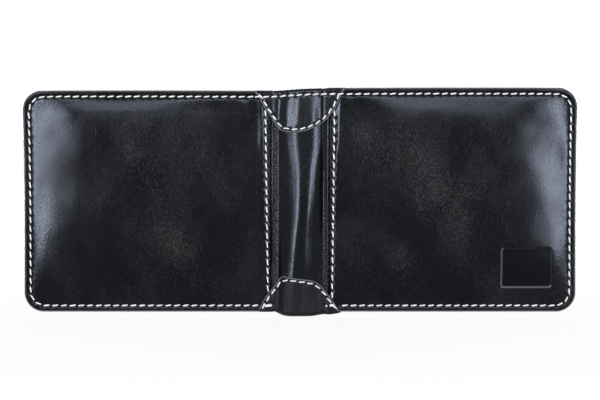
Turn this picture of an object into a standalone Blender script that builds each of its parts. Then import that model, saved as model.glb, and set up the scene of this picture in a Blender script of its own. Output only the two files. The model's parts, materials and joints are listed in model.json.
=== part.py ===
"""A bifold wallet of black leather, opened flat and standing on the foot of its spine.

Its outside faces -Y and its card pockets face +Y. The two halves fold towards +Y, each about an
upright line beside the spine. Lengths are in metres and +Z is up.
"""

import math

import bmesh
import bpy

MM = 0.001

# Outline of the opened wallet
SPINE_WIDTH = 25.2 * MM
HALF_LENGTH = 105.2 * MM
TOP_FLARE = 1.1 * MM
BACK_HEIGHT = 94.5 * MM
FRONT_HEIGHT = 95.7 * MM
CORNER_RADIUS = 8.4 * MM

# Thickness of each material
COVER_THICKNESS = 1.3 * MM
SPINE_THICKNESS = 0.9 * MM
PATCH_THICKNESS = 0.9 * MM
LINING_THICKNESS = 0.4 * MM
WALL_THICKNESS = 0.9 * MM
CARD_THICKNESS = 0.6 * MM
POCKET_THICKNESS = 0.7 * MM
STRIP_THICKNESS = 0.6 * MM
THREAD_THICKNESS = 0.4 * MM
THREAD_WIDTH = 0.7 * MM

# Clearances between neighbours
LAYER_GAP = 0.25 * MM
GAP = 0.3 * MM
EDGE_INSET = 0.3 * MM
OVERRUN = 2.0 * MM

# Seams, measured from the edge that each follows
SEAM_INSET = 2.7 * MM
SPINE_SEAM_TOP = 2.3 * MM
SPINE_SEAM_BOTTOM = 1.0 * MM
POCKET_SEAM = 2.1 * MM

# Swelling of the bill compartment, and how far in from each side it takes to build up
SWELL = 5.0 * MM
SWELL_START = 3.0 * MM
END_RUN = 26.0 * MM
SPINE_RUN = 20.0 * MM
FOOT_RUN = 20.0 * MM

# Where each layer starts, measured outwards from the fold line
COVER_START = 0.15 * MM
MARGIN_START = 0.75 * MM
MARGIN_WIDTH = 3.95 * MM
WALL_START = 5.2 * MM
STRIP_LAP = 3.5 * MM
POCKET_START = 10.2 * MM

# Card pockets
WALL_DROP = 3.0 * MM
BACKING_DROP = 5.0 * MM
FIRST_MOUTH_DROP = 14.0 * MM
MOUTH_PITCH = 10.5 * MM
CARD_DEPTH = 46.0 * MM
BAND_HEIGHT = 13.0 * MM
TONGUE_INSET = 6.0 * MM
STRIP_END = 8.0 * MM

# The rolled spine leather, at its foot, middle and top
ROLL_HEIGHTS = (3.3 * MM, 3.8 * MM, 2.9 * MM)
ROLL_HALF_WIDTHS = (11.0 * MM, 10.5 * MM, 12.0 * MM)

# The foot of the spine, which hangs below the two halves
FOOT_DROP = 2.0 * MM
FOOT_FLAT = 5.0 * MM
FOOT_HALF_WIDTH = 10.5 * MM
FOOT_LIP = 8.0 * MM
FOOT_DEPTH = 3.6 * MM

# Half-moon patches, with the line that their thread follows
TOP_ARC_HALF_WIDTH = 18.0 * MM
TOP_ARC_DEPTH = 17.8 * MM
TOP_ARC_POWER = 2.4
FOOT_ARC_HALF_WIDTH = 16.0 * MM
FOOT_ARC_DEPTH = 13.9 * MM
FOOT_ARC_POWER = 3.0
PATCH_MARGIN = 1.3 * MM
PATCH_TIP = 0.9 * MM
PATCH_LIP = 6.0 * MM
PATCH_SETBACK = 0.2 * MM
STEP_RUN = 4.0 * MM
BACKSTITCH = 4.2 * MM

# Debossed plaque on the front cover
PLAQUE_WIDTH = 21.3 * MM
PLAQUE_HEIGHT = 16.5 * MM
PLAQUE_FROM_END = 10.8 * MM
PLAQUE_FROM_BOTTOM = 10.6 * MM
PLAQUE_DEPTH = 0.45 * MM

# Fineness of the curved sheets
CORNER_STEPS = 4
CURVE_STEP = 7.5 * MM
ROLL_STEP = 1.6 * MM
SHARP_ANGLE = math.radians(35)

# Places that follow from the sizes above
FOLD_X = SPINE_WIDTH / 2
FOLD_DEPTH = SPINE_THICKNESS / 2
COVER_REACH = COVER_THICKNESS + LAYER_GAP
SEAM_CLEAR = SEAM_INSET + THREAD_WIDTH
WALL_DEPTH = LINING_THICKNESS + LAYER_GAP
BACKING_DEPTH = WALL_DEPTH + WALL_THICKNESS + LAYER_GAP
SLIP_DEPTHS = (
    BACKING_DEPTH + CARD_THICKNESS + LAYER_GAP,
    BACKING_DEPTH + 2 * (CARD_THICKNESS + LAYER_GAP),
)
POCKET_DEPTH = BACKING_DEPTH + 3 * (CARD_THICKNESS + LAYER_GAP)
THREAD_REACH = GAP + THREAD_THICKNESS
OUTSIDE_REACH = COVER_REACH + SWELL + THREAD_REACH
INSIDE_REACH = POCKET_DEPTH + POCKET_THICKNESS + THREAD_REACH
DEPTH_SHIFT = (OUTSIDE_REACH - INSIDE_REACH) / 2

BLACK_LEATHER = ((0.018, 0.018, 0.020), 0.38)
SOFT_LEATHER = ((0.015, 0.015, 0.018), 0.30)
LINING_CLOTH = ((0.045, 0.045, 0.048), 0.85)
WHITE_THREAD = ((0.80, 0.79, 0.76), 0.70)


def clear_scene():
    for item in list(bpy.data.objects):
        bpy.data.objects.remove(item)


def material(name, finish):
    colour, roughness = finish
    made = bpy.data.materials.new(name)
    made.use_nodes = True
    shader = made.node_tree.nodes["Principled BSDF"]
    shader.inputs["Base Color"].default_value = (*colour, 1)
    shader.inputs["Roughness"].default_value = roughness
    shader.inputs["Metallic"].default_value = 0
    return made


def axis(name, location, parent=None):
    """An empty that its pieces hang from: the wallet's own frame or a fold line."""
    empty = bpy.data.objects.new(name, None)
    bpy.context.collection.objects.link(empty)
    empty.location = location
    empty.parent = parent
    return empty


def finished(name, body, finish, parent):
    """Turns a bmesh into a named piece with its own material."""
    bmesh.ops.recalc_face_normals(body, faces=body.faces[:])
    mesh = bpy.data.meshes.new(name)
    body.to_mesh(mesh)
    body.free()
    mesh.shade_smooth()
    mesh.set_sharp_from_angle(angle=SHARP_ANGLE)
    mesh.materials.append(material(name, finish))
    piece = bpy.data.objects.new(name, mesh)
    bpy.context.collection.objects.link(piece)
    piece.parent = parent
    return piece


def helper(name, body, parent):
    """A shape that only cuts or joins another piece."""
    piece = finished(name, body, BLACK_LEATHER, parent)
    piece.hide_render = True
    piece.display_type = "WIRE"
    return piece


def boolean(piece, other, operation):
    made = piece.modifiers.new(other.name, "BOOLEAN")
    made.operation = operation
    made.solver = "EXACT"
    made.object = other


def solid_between(columns, rows, near, far):
    """A solid between two grids, whose points near and far give from shares of the grid's sides."""
    body = bmesh.new()
    bmesh.ops.create_grid(body, x_segments=columns, y_segments=rows, size=1)
    grown = bmesh.ops.extrude_face_region(body, geom=body.faces[:])
    moved = {item for item in grown["geom"] if isinstance(item, bmesh.types.BMVert)}
    for vertex in body.verts:
        place = far if vertex in moved else near
        vertex.co = place((vertex.co.x + 1) / 2, (vertex.co.y + 1) / 2)
    return body


def sheet(columns, rows, spot, face, thickness, side=1):
    """A sheet of even thickness: spot gives across and up, face the depth of its outward side."""

    def near(column_share, row_share):
        across, up = spot(column_share, row_share)
        return side * across, face(across, up), up

    def far(column_share, row_share):
        across, up = spot(column_share, row_share)
        return side * across, face(across, up) + thickness, up

    return solid_between(columns, rows, near, far)


def plate(outline, depth, thickness, side):
    """A flat piece cut to an outline of across and up."""
    body = bmesh.new()
    body.faces.new([body.verts.new((side * across, depth, up)) for across, up in outline])
    grown = bmesh.ops.extrude_face_region(body, geom=body.faces[:])
    for item in grown["geom"]:
        if isinstance(item, bmesh.types.BMVert):
            item.co.y += thickness
    return body


def ribbon(path, face, side=1):
    """Thread laid along a path of across and up, as one flat run."""
    count = len(path) - 1

    def spot(column_share, row_share):
        index = round(column_share * count)
        before = path[max(index - 1, 0)]
        after = path[min(index + 1, count)]
        run = math.dist(before, after)
        aside = (row_share - 1 / 2) * THREAD_WIDTH
        across = path[index][0] - aside * (after[1] - before[1]) / run
        up = path[index][1] + aside * (after[0] - before[0]) / run
        return across, up

    return sheet(count, 1, spot, face, THREAD_THICKNESS, side)


def spread(start, end, step):
    """Even steps from start to end, none longer than step."""
    count = max(math.ceil(abs(end - start) / step), 1)
    return [start + (end - start) * index / count for index in range(count + 1)]


def rise(distance, run):
    """A share that grows from 0 at a seam to 1 once the leather has swelled out."""
    return math.sin(math.pi / 2 * min(max(distance / run, 0), 1))


def smooth(share):
    share = min(max(share, 0), 1)
    return share * share * (3 - 2 * share)


def straight_side(up, height):
    return HALF_LENGTH + TOP_FLARE * (up / height) ** 3


def side_edge(up, height, inset=0):
    """How far from the fold a half's outer edge lies, with its rounded corners."""
    radius = CORNER_RADIUS - inset
    into_corner = max(CORNER_RADIUS - min(up, height - up), 0)
    kept = math.sqrt(max(radius**2 - into_corner**2, 0))
    return straight_side(up, height) - CORNER_RADIUS + kept


def levels(low, high, height):
    """Heights of a sheet's rows, closer together in the rounded corners."""
    quarter = math.pi / 2
    turn = [
        CORNER_RADIUS * (1 - math.cos(quarter * step / CORNER_STEPS))
        for step in range(CORNER_STEPS)
    ]
    middle = spread(CORNER_RADIUS, height - CORNER_RADIUS, CURVE_STEP)
    found = [SEAM_CLEAR, *turn, *middle, *(height - up for up in turn)]
    inner = sorted(up for up in found if low + LAYER_GAP < up < high - LAYER_GAP)
    return [low, *inner, high]


def swell(across, up, height):
    """How far the shell stands out over the bill compartment, which is open at the top."""
    from_end = rise(straight_side(up, height) - SEAM_CLEAR - across, END_RUN)
    from_spine = rise(across - SWELL_START, SPINE_RUN)
    from_foot = rise(up - SEAM_CLEAR, FOOT_RUN)
    return SWELL * from_end * from_spine * from_foot


def half_sheet(start, low, high, inset, height, face, thickness, side):
    """A sheet of one half, from its start near the fold to the outer edge."""
    rows = levels(low, high, height)
    first = max(start, SWELL_START)
    even = math.ceil((HALF_LENGTH - first) / CURVE_STEP)

    def places(edge):
        last = edge - SEAM_CLEAR
        inner = [first + (last - first) * index / even for index in range(even + 1)]
        return [start, *inner, edge] if start < first else [*inner, edge]

    columns = len(places(HALF_LENGTH)) - 1

    def spot(column_share, row_share):
        up = rows[round(row_share * (len(rows) - 1))]
        return places(side_edge(up, height, inset))[round(column_share * columns)], up

    return sheet(columns, len(rows) - 1, spot, face, thickness, side)


def half_outline(start, low, high, height, inset):
    """Outline of a flat layer of one half."""
    edge = [(side_edge(up, height, inset), up) for up in levels(low, high, height)]
    return [(start, low), *edge, (start, high)]


def at_fold(depth):
    """A depth measured from the fold line, where each half's pieces have their origin."""
    return depth - FOLD_DEPTH


def shell_face(depth, height):
    """The face of a shell layer that lies at this depth where the shell is flat."""
    return lambda across, up: at_fold(depth) - swell(across, up, height)


def plaque_cutter(height, parent):
    """Sinks the plaque's bed parallel to the swelled cover."""
    right = HALF_LENGTH - PLAQUE_FROM_END
    left = right - PLAQUE_WIDTH
    face = shell_face(-COVER_REACH, height)

    def spot(column_share, row_share):
        return left + PLAQUE_WIDTH * column_share, PLAQUE_FROM_BOTTOM + PLAQUE_HEIGHT * row_share

    def outside(across, up):
        return face(across, up) - OVERRUN

    body = sheet(4, 4, spot, outside, OVERRUN + PLAQUE_DEPTH)
    return helper("plaque_cutter", body, parent)


def slip_outline(mouth, height):
    """A T-shaped card slip: a full band at its mouth over a narrower tongue."""
    band = mouth - BAND_HEIGHT
    foot = mouth - CARD_DEPTH
    edge = [(side_edge(up, height, EDGE_INSET), up) for up in levels(band, mouth, height)]
    left = POCKET_START + TONGUE_INSET
    right = edge[0][0] - TONGUE_INSET
    return [
        (left, foot),
        (right, foot),
        (right, band),
        *edge,
        (POCKET_START, mouth),
        (POCKET_START, band),
        (left, band),
    ]


def rim_path(height):
    """The seam round one half, from the top patch to the bottom patch."""
    radius = CORNER_RADIUS - SEAM_INSET
    quarter = math.pi / 2
    arc = [quarter * step / CORNER_STEPS for step in range(CORNER_STEPS + 1)]

    def corner(angle, up_sign):
        middle = height - CORNER_RADIUS if up_sign > 0 else CORNER_RADIUS
        up = middle + up_sign * radius * math.cos(angle)
        return straight_side(up, height) - CORNER_RADIUS + radius * math.sin(angle), up

    top = height - SEAM_INSET
    start = TOP_ARC_HALF_WIDTH + PATCH_MARGIN + GAP - FOLD_X
    end = FOOT_ARC_HALF_WIDTH + PATCH_MARGIN + GAP - FOLD_X
    over = spread(start, corner(0, 1)[0], CURVE_STEP)
    down = spread(height - CORNER_RADIUS, CORNER_RADIUS, CURVE_STEP)
    back = spread(corner(0, -1)[0], end, CURVE_STEP)
    path = [(across, top) for across in over[:-1]]
    path += [corner(angle, 1) for angle in arc]
    path += [(straight_side(up, height) - SEAM_INSET, up) for up in down[1:-1]]
    path += [corner(angle, -1) for angle in reversed(arc)]
    path += [(across, SEAM_INSET) for across in back[1:]]
    return path


def spine_seam(side, height):
    """The seam that holds a cover to the spine leather, between the two patches."""
    top_place = side * (FOLD_X + SPINE_SEAM_TOP - THREAD_WIDTH)
    foot_place = side * (FOLD_X + SPINE_SEAM_BOTTOM - THREAD_WIDTH)
    high = top_arc(top_place, PATCH_MARGIN) - FOOT_DROP - THREAD_WIDTH
    low = foot_arc(foot_place, PATCH_MARGIN) - FOOT_DROP + THREAD_WIDTH
    lean = (SPINE_SEAM_TOP - SPINE_SEAM_BOTTOM) / height
    return [(SPINE_SEAM_BOTTOM + lean * up, up) for up in spread(low, high, CURVE_STEP)]


def thread_over(face):
    return lambda across, up: face(across, up) - THREAD_REACH


def pocket_steps(height):
    """The mouths from the top down, each with the depth of the layer that shows below it."""
    first = height - FIRST_MOUTH_DROP
    return [
        (height - BACKING_DROP, BACKING_DEPTH + CARD_THICKNESS),
        (first, SLIP_DEPTHS[0] + CARD_THICKNESS),
        (first - MOUTH_PITCH, SLIP_DEPTHS[1] + CARD_THICKNESS),
        (first - 2 * MOUTH_PITCH, POCKET_DEPTH + POCKET_THICKNESS),
    ]


def pocket_thread(height, side):
    """The upright seam beside the card pockets, stepping out above each mouth that it passes."""
    across = POCKET_START + POCKET_SEAM
    steps = pocket_steps(height)
    starts = [mouth + THREAD_WIDTH for mouth, _depth in steps]
    starts[0] = steps[0][0] - THREAD_WIDTH
    ends = [start + THREAD_WIDTH for start in starts[1:]] + [SEAM_INSET]
    depths = {}
    for (_mouth, depth), start, end in zip(steps, starts, ends):
        depths[start] = at_fold(depth + GAP)
        depths[end] = at_fold(depth + GAP)
    path = [(across, up) for up in depths]
    return ribbon(path, lambda _across, up: depths[up], side)


def make_half(name, side, height, frame):
    """One half of the wallet: its shell, the bill compartment's inner wall and the card pockets."""
    fold = axis(name + "_fold", (side * FOLD_X, FOLD_DEPTH, FOOT_DROP), frame)

    def add(piece_name, body, finish):
        return finished(f"{name}_{piece_name}", body, finish, fold)

    margin_end = MARGIN_START + MARGIN_WIDTH
    outside = shell_face(-COVER_REACH, height)
    inside = shell_face(0, height)
    cover = half_sheet(COVER_START, 0, height, 0, height, outside, COVER_THICKNESS, side)
    made_cover = add("cover", cover, BLACK_LEATHER)
    top = height - EDGE_INSET
    margin_rows = levels(EDGE_INSET, top, height)

    def margin_spot(column_share, row_share):
        up = margin_rows[round(row_share * (len(margin_rows) - 1))]
        return MARGIN_START + MARGIN_WIDTH * column_share, up

    margin = sheet(2, len(margin_rows) - 1, margin_spot, inside, SPINE_THICKNESS, side)
    add("spine_margin", margin, SOFT_LEATHER)
    lining = half_sheet(
        margin_end + GAP, EDGE_INSET, top, EDGE_INSET, height, inside, LINING_THICKNESS, side
    )
    add("lining", lining, LINING_CLOTH)

    flat_layers = (
        ("inner_wall", WALL_START, WALL_DROP, WALL_DEPTH, WALL_THICKNESS),
        ("card_backing", POCKET_START, BACKING_DROP, BACKING_DEPTH, CARD_THICKNESS),
        (
            "card_pocket",
            POCKET_START,
            FIRST_MOUTH_DROP + 2 * MOUTH_PITCH,
            POCKET_DEPTH,
            POCKET_THICKNESS,
        ),
    )
    for layer_name, start, drop, depth, thickness in flat_layers:
        outline = half_outline(start, EDGE_INSET, height - drop, height, EDGE_INSET)
        add(layer_name, plate(outline, at_fold(depth), thickness, side), BLACK_LEATHER)
    for index, depth in enumerate(SLIP_DEPTHS):
        outline = slip_outline(height - FIRST_MOUTH_DROP - index * MOUTH_PITCH, height)
        slip = plate(outline, at_fold(depth), CARD_THICKNESS, side)
        add(f"card_slip_{index + 1}", slip, BLACK_LEATHER)

    add("rim_thread", ribbon(rim_path(height), thread_over(outside), side), WHITE_THREAD)
    seam = spine_seam(side, height)
    add("spine_seam_thread", ribbon(seam, thread_over(outside), side), WHITE_THREAD)
    add("pocket_thread", pocket_thread(height, side), WHITE_THREAD)
    return made_cover, fold


def between(low, middle, high, share):
    """A value that passes smoothly from low through middle to high."""
    end = high if share > 1 / 2 else low
    return middle + (end - middle) * (2 * share - 1) ** 2


def crest(across):
    """Height of the wallet's top edge across the spine."""
    share = min(max((across + FOLD_X) / SPINE_WIDTH, 0), 1)
    return FOOT_DROP + BACK_HEIGHT + (FRONT_HEIGHT - BACK_HEIGHT) * share


def foot(across):
    """Height of the underside of the spine's foot, which is flat in the middle."""
    return FOOT_DROP * smooth((abs(across) - FOOT_FLAT) / (FOOT_HALF_WIDTH - FOOT_FLAT))


def roll(across, up):
    """How far the spine leather is rolled outwards."""
    share = up / crest(across)
    height = between(*ROLL_HEIGHTS, share)
    half_width = between(*ROLL_HALF_WIDTHS, share)
    turn = min(abs(across) / half_width, 1)
    return height * math.cos(math.pi / 2 * turn) ** 2


def outside_at(across, up):
    """How far the spine or the cover beside it stands out."""
    beyond = abs(across) - FOLD_X
    height = FRONT_HEIGHT if across > 0 else BACK_HEIGHT
    if beyond > 0:
        return COVER_REACH + swell(beyond, up - FOOT_DROP, height)
    step = COVER_REACH * smooth((beyond + COVER_START + STEP_RUN) / STEP_RUN)
    return max(roll(across, up), step)


def arc(across, half_width, depth, power):
    """Depth of a half-moon outline at a place across it, with blunt tips."""
    share = min(abs(across) / half_width, 1)
    return PATCH_TIP + (depth - PATCH_TIP) * (1 - share**power)


def top_arc(across, margin=0):
    depth = arc(across, TOP_ARC_HALF_WIDTH + margin, TOP_ARC_DEPTH + margin, TOP_ARC_POWER)
    return crest(across) - depth


def foot_arc(across, margin=0):
    depth = arc(across, FOOT_ARC_HALF_WIDTH + margin, FOOT_ARC_DEPTH + margin, FOOT_ARC_POWER)
    return FOOT_DROP + depth


def patch_face(across, up):
    return -outside_at(across, up) - GAP - PATCH_THICKNESS


def patch_sheet(half_width, low, high):
    """The part of a patch that lies on the outside, between two edges that vary across it."""
    columns = 2 * math.ceil(half_width / ROLL_STEP)

    def spot(column_share, row_share):
        across = half_width * (2 * column_share - 1)
        return across, low(across) + (high(across) - low(across)) * row_share

    return sheet(columns, 5, spot, patch_face, PATCH_THICKNESS)


def saddle(half_width, edge, outer_end, inner_end, inner_face, sign):
    """The turn of a patch round the wallet's edge, from its outside to its inside leg.

    edge gives the height of the outer side of the turn, and sign is the way that it faces.
    """
    columns = 2 * math.ceil(half_width / ROLL_STEP)
    steps = 7

    def path(across, index, depth):
        outer = patch_face(across, edge(across)) + PATCH_SETBACK + depth
        inner = inner_face(across) + PATCH_THICKNESS - depth
        turn = PATCH_THICKNESS - depth / 2
        top = edge(across) - sign * depth
        places = (
            (outer, outer_end(across)),
            (outer, top - sign * turn),
            (outer + turn / 3, top - sign * turn / 3),
            (outer + turn, top),
            (inner - turn, top),
            (inner - turn / 3, top - sign * turn / 3),
            (inner, top - sign * turn),
            (inner, inner_end(across)),
        )
        return across, *places[index]

    def near(column_share, row_share):
        return path(half_width * (2 * column_share - 1), round(row_share * steps), 0)

    def far(column_share, row_share):
        thickness = PATCH_THICKNESS - 2 * PATCH_SETBACK
        return path(half_width * (2 * column_share - 1), round(row_share * steps), thickness)

    return solid_between(columns, steps, near, far)


def make_spine_leather(frame):
    half_width = FOLD_X - GAP
    columns = 2 * math.ceil(half_width / ROLL_STEP)
    clear = PATCH_THICKNESS + GAP

    def spot(column_share, row_share):
        across = half_width * (2 * column_share - 1)
        low = foot(across) + clear
        high = crest(across) - clear
        return across, low + (high - low) * row_share

    body = sheet(columns, 8, spot, lambda across, up: -roll(across, up), SPINE_THICKNESS)
    finished("spine_leather", body, SOFT_LEATHER, frame)


def make_top_patch(frame):
    half_width = TOP_ARC_HALF_WIDTH + PATCH_MARGIN
    body = patch_sheet(
        half_width,
        lambda across: top_arc(across, PATCH_MARGIN),
        lambda across: crest(across) - PATCH_SETBACK,
    )
    patch = finished("top_patch", body, SOFT_LEATHER, frame)

    def inner_face(across):
        return SPINE_THICKNESS + GAP - roll(across, crest(across) - PATCH_LIP)

    over = saddle(
        FOLD_X - STEP_RUN / 2,
        crest,
        lambda across: crest(across) - PATCH_LIP / 2,
        lambda across: crest(across) - PATCH_LIP,
        inner_face,
        1,
    )
    boolean(patch, helper("top_patch_turn", over, frame), "UNION")


def make_bottom_patch(frame):
    half_width = FOOT_ARC_HALF_WIDTH + PATCH_MARGIN
    body = patch_sheet(
        half_width,
        lambda across: foot(across) + PATCH_SETBACK,
        lambda across: foot_arc(across, PATCH_MARGIN),
    )
    patch = finished("bottom_patch", body, SOFT_LEATHER, frame)
    under = saddle(
        FOOT_HALF_WIDTH,
        foot,
        lambda across: foot(across) + PATCH_LIP / 2,
        lambda _across: FOOT_LIP,
        lambda _across: FOOT_DEPTH - PATCH_THICKNESS,
        -1,
    )
    boolean(patch, helper("bottom_patch_turn", under, frame), "UNION")


def make_centre_strip(frame):
    """The soft strip that joins the inner walls of the two halves across the spine."""
    half_width = FOLD_X + WALL_START + STRIP_LAP
    height = min(BACK_HEIGHT, FRONT_HEIGHT)
    low = FOOT_DROP + STRIP_END
    high = FOOT_DROP + height - STRIP_END
    outline = [(-half_width, low), (half_width, low), (half_width, high), (-half_width, high)]
    body = plate(outline, BACKING_DEPTH, STRIP_THICKNESS, 1)
    finished("centre_strip", body, SOFT_LEATHER, frame)


def make_patch_threads(frame):
    def face(across, up):
        return patch_face(across, up) - THREAD_REACH

    reach = TOP_ARC_HALF_WIDTH - SEAM_INSET / 2
    stops = spread(-reach, reach, ROLL_STEP)
    line = [(across, crest(across) - SEAM_INSET) for across in stops]
    curve = [(across, min(top_arc(across), crest(across) - 2 * SEAM_INSET)) for across in stops]
    loop = line + curve[::-1]
    finished("top_patch_thread", ribbon(loop, face), WHITE_THREAD, frame)

    reach = FOOT_ARC_HALF_WIDTH - SEAM_INSET / 2
    stops = spread(-reach, reach, ROLL_STEP)
    seam = FOOT_DROP + SEAM_INSET
    curve = [(across, max(foot_arc(across), seam + 2 * THREAD_WIDTH)) for across in stops]
    tail = [(across, seam) for across in spread(reach - BACKSTITCH, reach, ROLL_STEP)]
    run = [(-across, up) for across, up in tail] + curve + tail[::-1]
    finished("bottom_patch_thread", ribbon(run, face), WHITE_THREAD, frame)


def main():
    clear_scene()
    frame = axis("wallet", (0, DEPTH_SHIFT, 0))
    make_spine_leather(frame)
    make_top_patch(frame)
    make_bottom_patch(frame)
    make_centre_strip(frame)
    make_patch_threads(frame)
    make_half("back", -1, BACK_HEIGHT, frame)
    front_cover, front_fold = make_half("front", 1, FRONT_HEIGHT, frame)
    cutter = plaque_cutter(FRONT_HEIGHT, front_fold)
    boolean(front_cover, cutter, "DIFFERENCE")


main()
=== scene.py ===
"""Looks of an opened bifold wallet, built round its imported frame.

Places are in metres. Depth is measured along +Y from the outer face of the flat spine leather, so
the leather outside has negative depth. Across runs outwards from a fold line, and up from the lower
edge of a half.
"""

import json
import math

import bmesh
import bpy
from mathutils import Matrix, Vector, kdtree, noise


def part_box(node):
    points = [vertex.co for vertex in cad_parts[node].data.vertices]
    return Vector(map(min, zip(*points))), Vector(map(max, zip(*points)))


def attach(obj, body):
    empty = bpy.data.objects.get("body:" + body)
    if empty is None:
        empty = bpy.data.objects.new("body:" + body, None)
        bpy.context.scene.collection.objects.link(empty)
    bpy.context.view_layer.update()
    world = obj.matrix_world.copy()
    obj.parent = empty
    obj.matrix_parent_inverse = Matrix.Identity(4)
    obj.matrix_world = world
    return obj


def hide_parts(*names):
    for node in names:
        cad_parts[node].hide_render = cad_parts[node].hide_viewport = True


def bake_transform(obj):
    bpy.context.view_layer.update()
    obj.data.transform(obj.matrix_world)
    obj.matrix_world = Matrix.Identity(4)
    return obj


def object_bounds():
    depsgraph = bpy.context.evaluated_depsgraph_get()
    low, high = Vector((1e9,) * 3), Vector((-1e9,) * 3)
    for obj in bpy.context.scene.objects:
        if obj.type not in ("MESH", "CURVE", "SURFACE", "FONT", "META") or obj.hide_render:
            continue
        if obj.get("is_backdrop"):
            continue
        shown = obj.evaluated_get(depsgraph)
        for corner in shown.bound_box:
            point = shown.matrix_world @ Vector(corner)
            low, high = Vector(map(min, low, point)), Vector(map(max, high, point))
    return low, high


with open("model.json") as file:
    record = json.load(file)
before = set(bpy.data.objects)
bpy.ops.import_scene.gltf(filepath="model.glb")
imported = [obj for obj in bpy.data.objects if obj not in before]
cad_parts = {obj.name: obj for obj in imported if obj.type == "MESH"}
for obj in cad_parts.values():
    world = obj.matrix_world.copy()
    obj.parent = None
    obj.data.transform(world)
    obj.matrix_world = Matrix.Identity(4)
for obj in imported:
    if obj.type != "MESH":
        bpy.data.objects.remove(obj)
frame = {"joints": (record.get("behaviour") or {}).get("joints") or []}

bl_info = {
    "name": "Bifold Wallet",
    "version": (1, 0, 0),
    "blender": (4, 5, 0),
    "location": "View3D > Sidebar > Wallet",
    "description": "Builds the leather, lining and stitches of an opened bifold wallet",
    "category": "Object",
}

MM = 0.001


def millimetres(*values):
    return tuple(value * MM for value in values)


# Places read from the frame
FOLDS = {joint["child"]: joint["pos_m"] for joint in frame["joints"]}
FOLD_X = FOLDS["front_half"][0]
FOOT_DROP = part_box("back_cover")[0].z
HEIGHTS = {
    name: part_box(f"{name}_cover")[1].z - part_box(f"{name}_cover")[0].z
    for name in ("back", "front")
}
SIDES = {"back": -1, "front": 1}

# Outline of a half
HALF_LENGTH = 105.2 * MM
TOP_FLARE = 1.1 * MM
CORNER_RADIUS = 8.4 * MM
COVER_START = 0.15 * MM
INSET = 0.3 * MM

# Thicknesses, and the depth at which each layer of a half lies
SPINE_THICKNESS = 0.9 * MM
COVER_THICKNESS = 1.45 * MM
COVER_REACH = 1.55 * MM
PATCH_THICKNESS = 0.8 * MM
PATCH_LIFT = 0.15 * MM
LINING_THICKNESS = 0.45 * MM
WALL_THICKNESS = 0.95 * MM
CARD_THICKNESS = 0.7 * MM
POCKET_THICKNESS = 0.8 * MM
STRIP_THICKNESS = 0.6 * MM
WALL_DEPTH = 0.65 * MM
BACKING_DEPTH = 1.8 * MM
SLIP_PITCH = 0.85 * MM
DATUM = FOLDS["front_half"][1] - SPINE_THICKNESS / 2

# Swelling of the shell over the bill compartment
SWELL = 4.0 * MM
CROWN = 0.6 * MM
SWELL_START = 3.0 * MM
SEAM_CLEAR = 2.8 * MM
END_RUNS = {"back": millimetres(34, 42), "front": millimetres(34, 37)}
SPINE_RUNS = {"back": 46.0 * MM, "front": 42.0 * MM}
FOOT_RUN = 30.0 * MM
MOUTH_RUN = 26.0 * MM
MOUTH_DROP = 0.4
CROWN_RUN = 50.0 * MM

# Seams
SEAM_INSET = 2.7 * MM
SPINE_SEAM_TOP = 2.3 * MM
SPINE_SEAM_BOTTOM = 1.0 * MM
POCKET_SEAM = 2.1 * MM
POCKET_SEAM_CLEAR = 1.5 * MM
ARC_STEPS = 10

# Layers inside
MARGIN_END = 4.7 * MM
LINING_START = 5.0 * MM
WALL_START = 5.2 * MM
POCKET_START = 10.2 * MM
WALL_DROP = 3.0 * MM
BACKING_DROP = 5.0 * MM
FIRST_MOUTH_DROP = 14.0 * MM
MOUTH_PITCH = 10.5 * MM
CARD_DEPTH = 46.0 * MM
BAND_HEIGHT = 13.0 * MM
TONGUE_INSET = 6.0 * MM

# Rolled spine leather, by share of its height: height of the roll, place of its crest, and how far
# beside the crest and at which slope its sides begin to flatten. The shoulder, from which its sides
# drop to the flanges, is in widths of the crest and at most a share of the way to the edge.
ROLL_HEIGHTS = ((0, 4.8), (0.3, 5.2), (0.6, 5.2), (1, 4.4))
CREST_PLACES = (
    (0, -2.0), (0.11, -1.3), (0.22, -0.2), (0.33, 0.5),
    (0.45, 1.5), (0.6, 1.8), (0.8, 2.1), (1, 2.2),
)
CREST_WIDTHS = (
    (0, 3.4), (0.22, 3.2), (0.38, 2.8), (0.55, 3.0), (0.65, 3.4), (0.8, 5.0), (1, 4.6)
)
CREST_SLOPES = ((0, 0.395), (0.5, 0.363), (1, 0.33))
FLANK_CURVING = 0.2
SHOULDER = (1.5, 0.9)
FLANGE_SLOPE = 0.3
ROLL_EDGES = {-1: 9.2 * MM, 1: 9.8 * MM}
FLANGE_HEIGHT = 0.45 * MM
FLANGE_END = 11.6 * MM

# Rubbed grain on the flat strips beside the roll: its strength, what is added low down, where that
# starts and over which share of the height it grows, and how soft the strip's sides are
FLANGE_WEAR = {"back": (0.9, 0.0), "front": (0.12, 0.5)}
FLANGE_WEAR_TOP = 0.62
FLANGE_WEAR_RUN = 0.2
FLANGE_FADE = 0.4 * MM

# Seams of the half-moon patches: across, and down from the top edge or up from the foot
TOP_SEAM = (
    (-18.6, 0.2), (-17.4, 1.4), (-16.4, 2.9), (-14.5, 6.3), (-11.2, 11.2), (-9.2, 14.6),
    (-7.4, 16.2), (-5.2, 16.9), (-2.2, 17.3), (2.0, 16.9), (5.3, 15.8), (8.0, 14.5),
    (10.7, 12.5), (12.5, 10.2), (14.3, 7.8), (15.8, 4.8), (17.3, 1.2), (17.9, 0.2),
)
FOOT_SEAM = (
    (-16.4, 0.3), (-15.4, 2.6), (-13.6, 5.9), (-11.5, 8.6), (-9.7, 10.7), (-8.5, 12.6),
    (-7.4, 13.8), (-6.2, 14.1), (-4.9, 13.6), (-1.0, 13.1), (2.9, 12.6), (5.7, 12.0),
    (7.5, 10.9), (9.5, 8.8), (11.8, 5.9), (13.7, 3.2), (15.2, 0.8), (15.9, 0.2),
)
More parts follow.
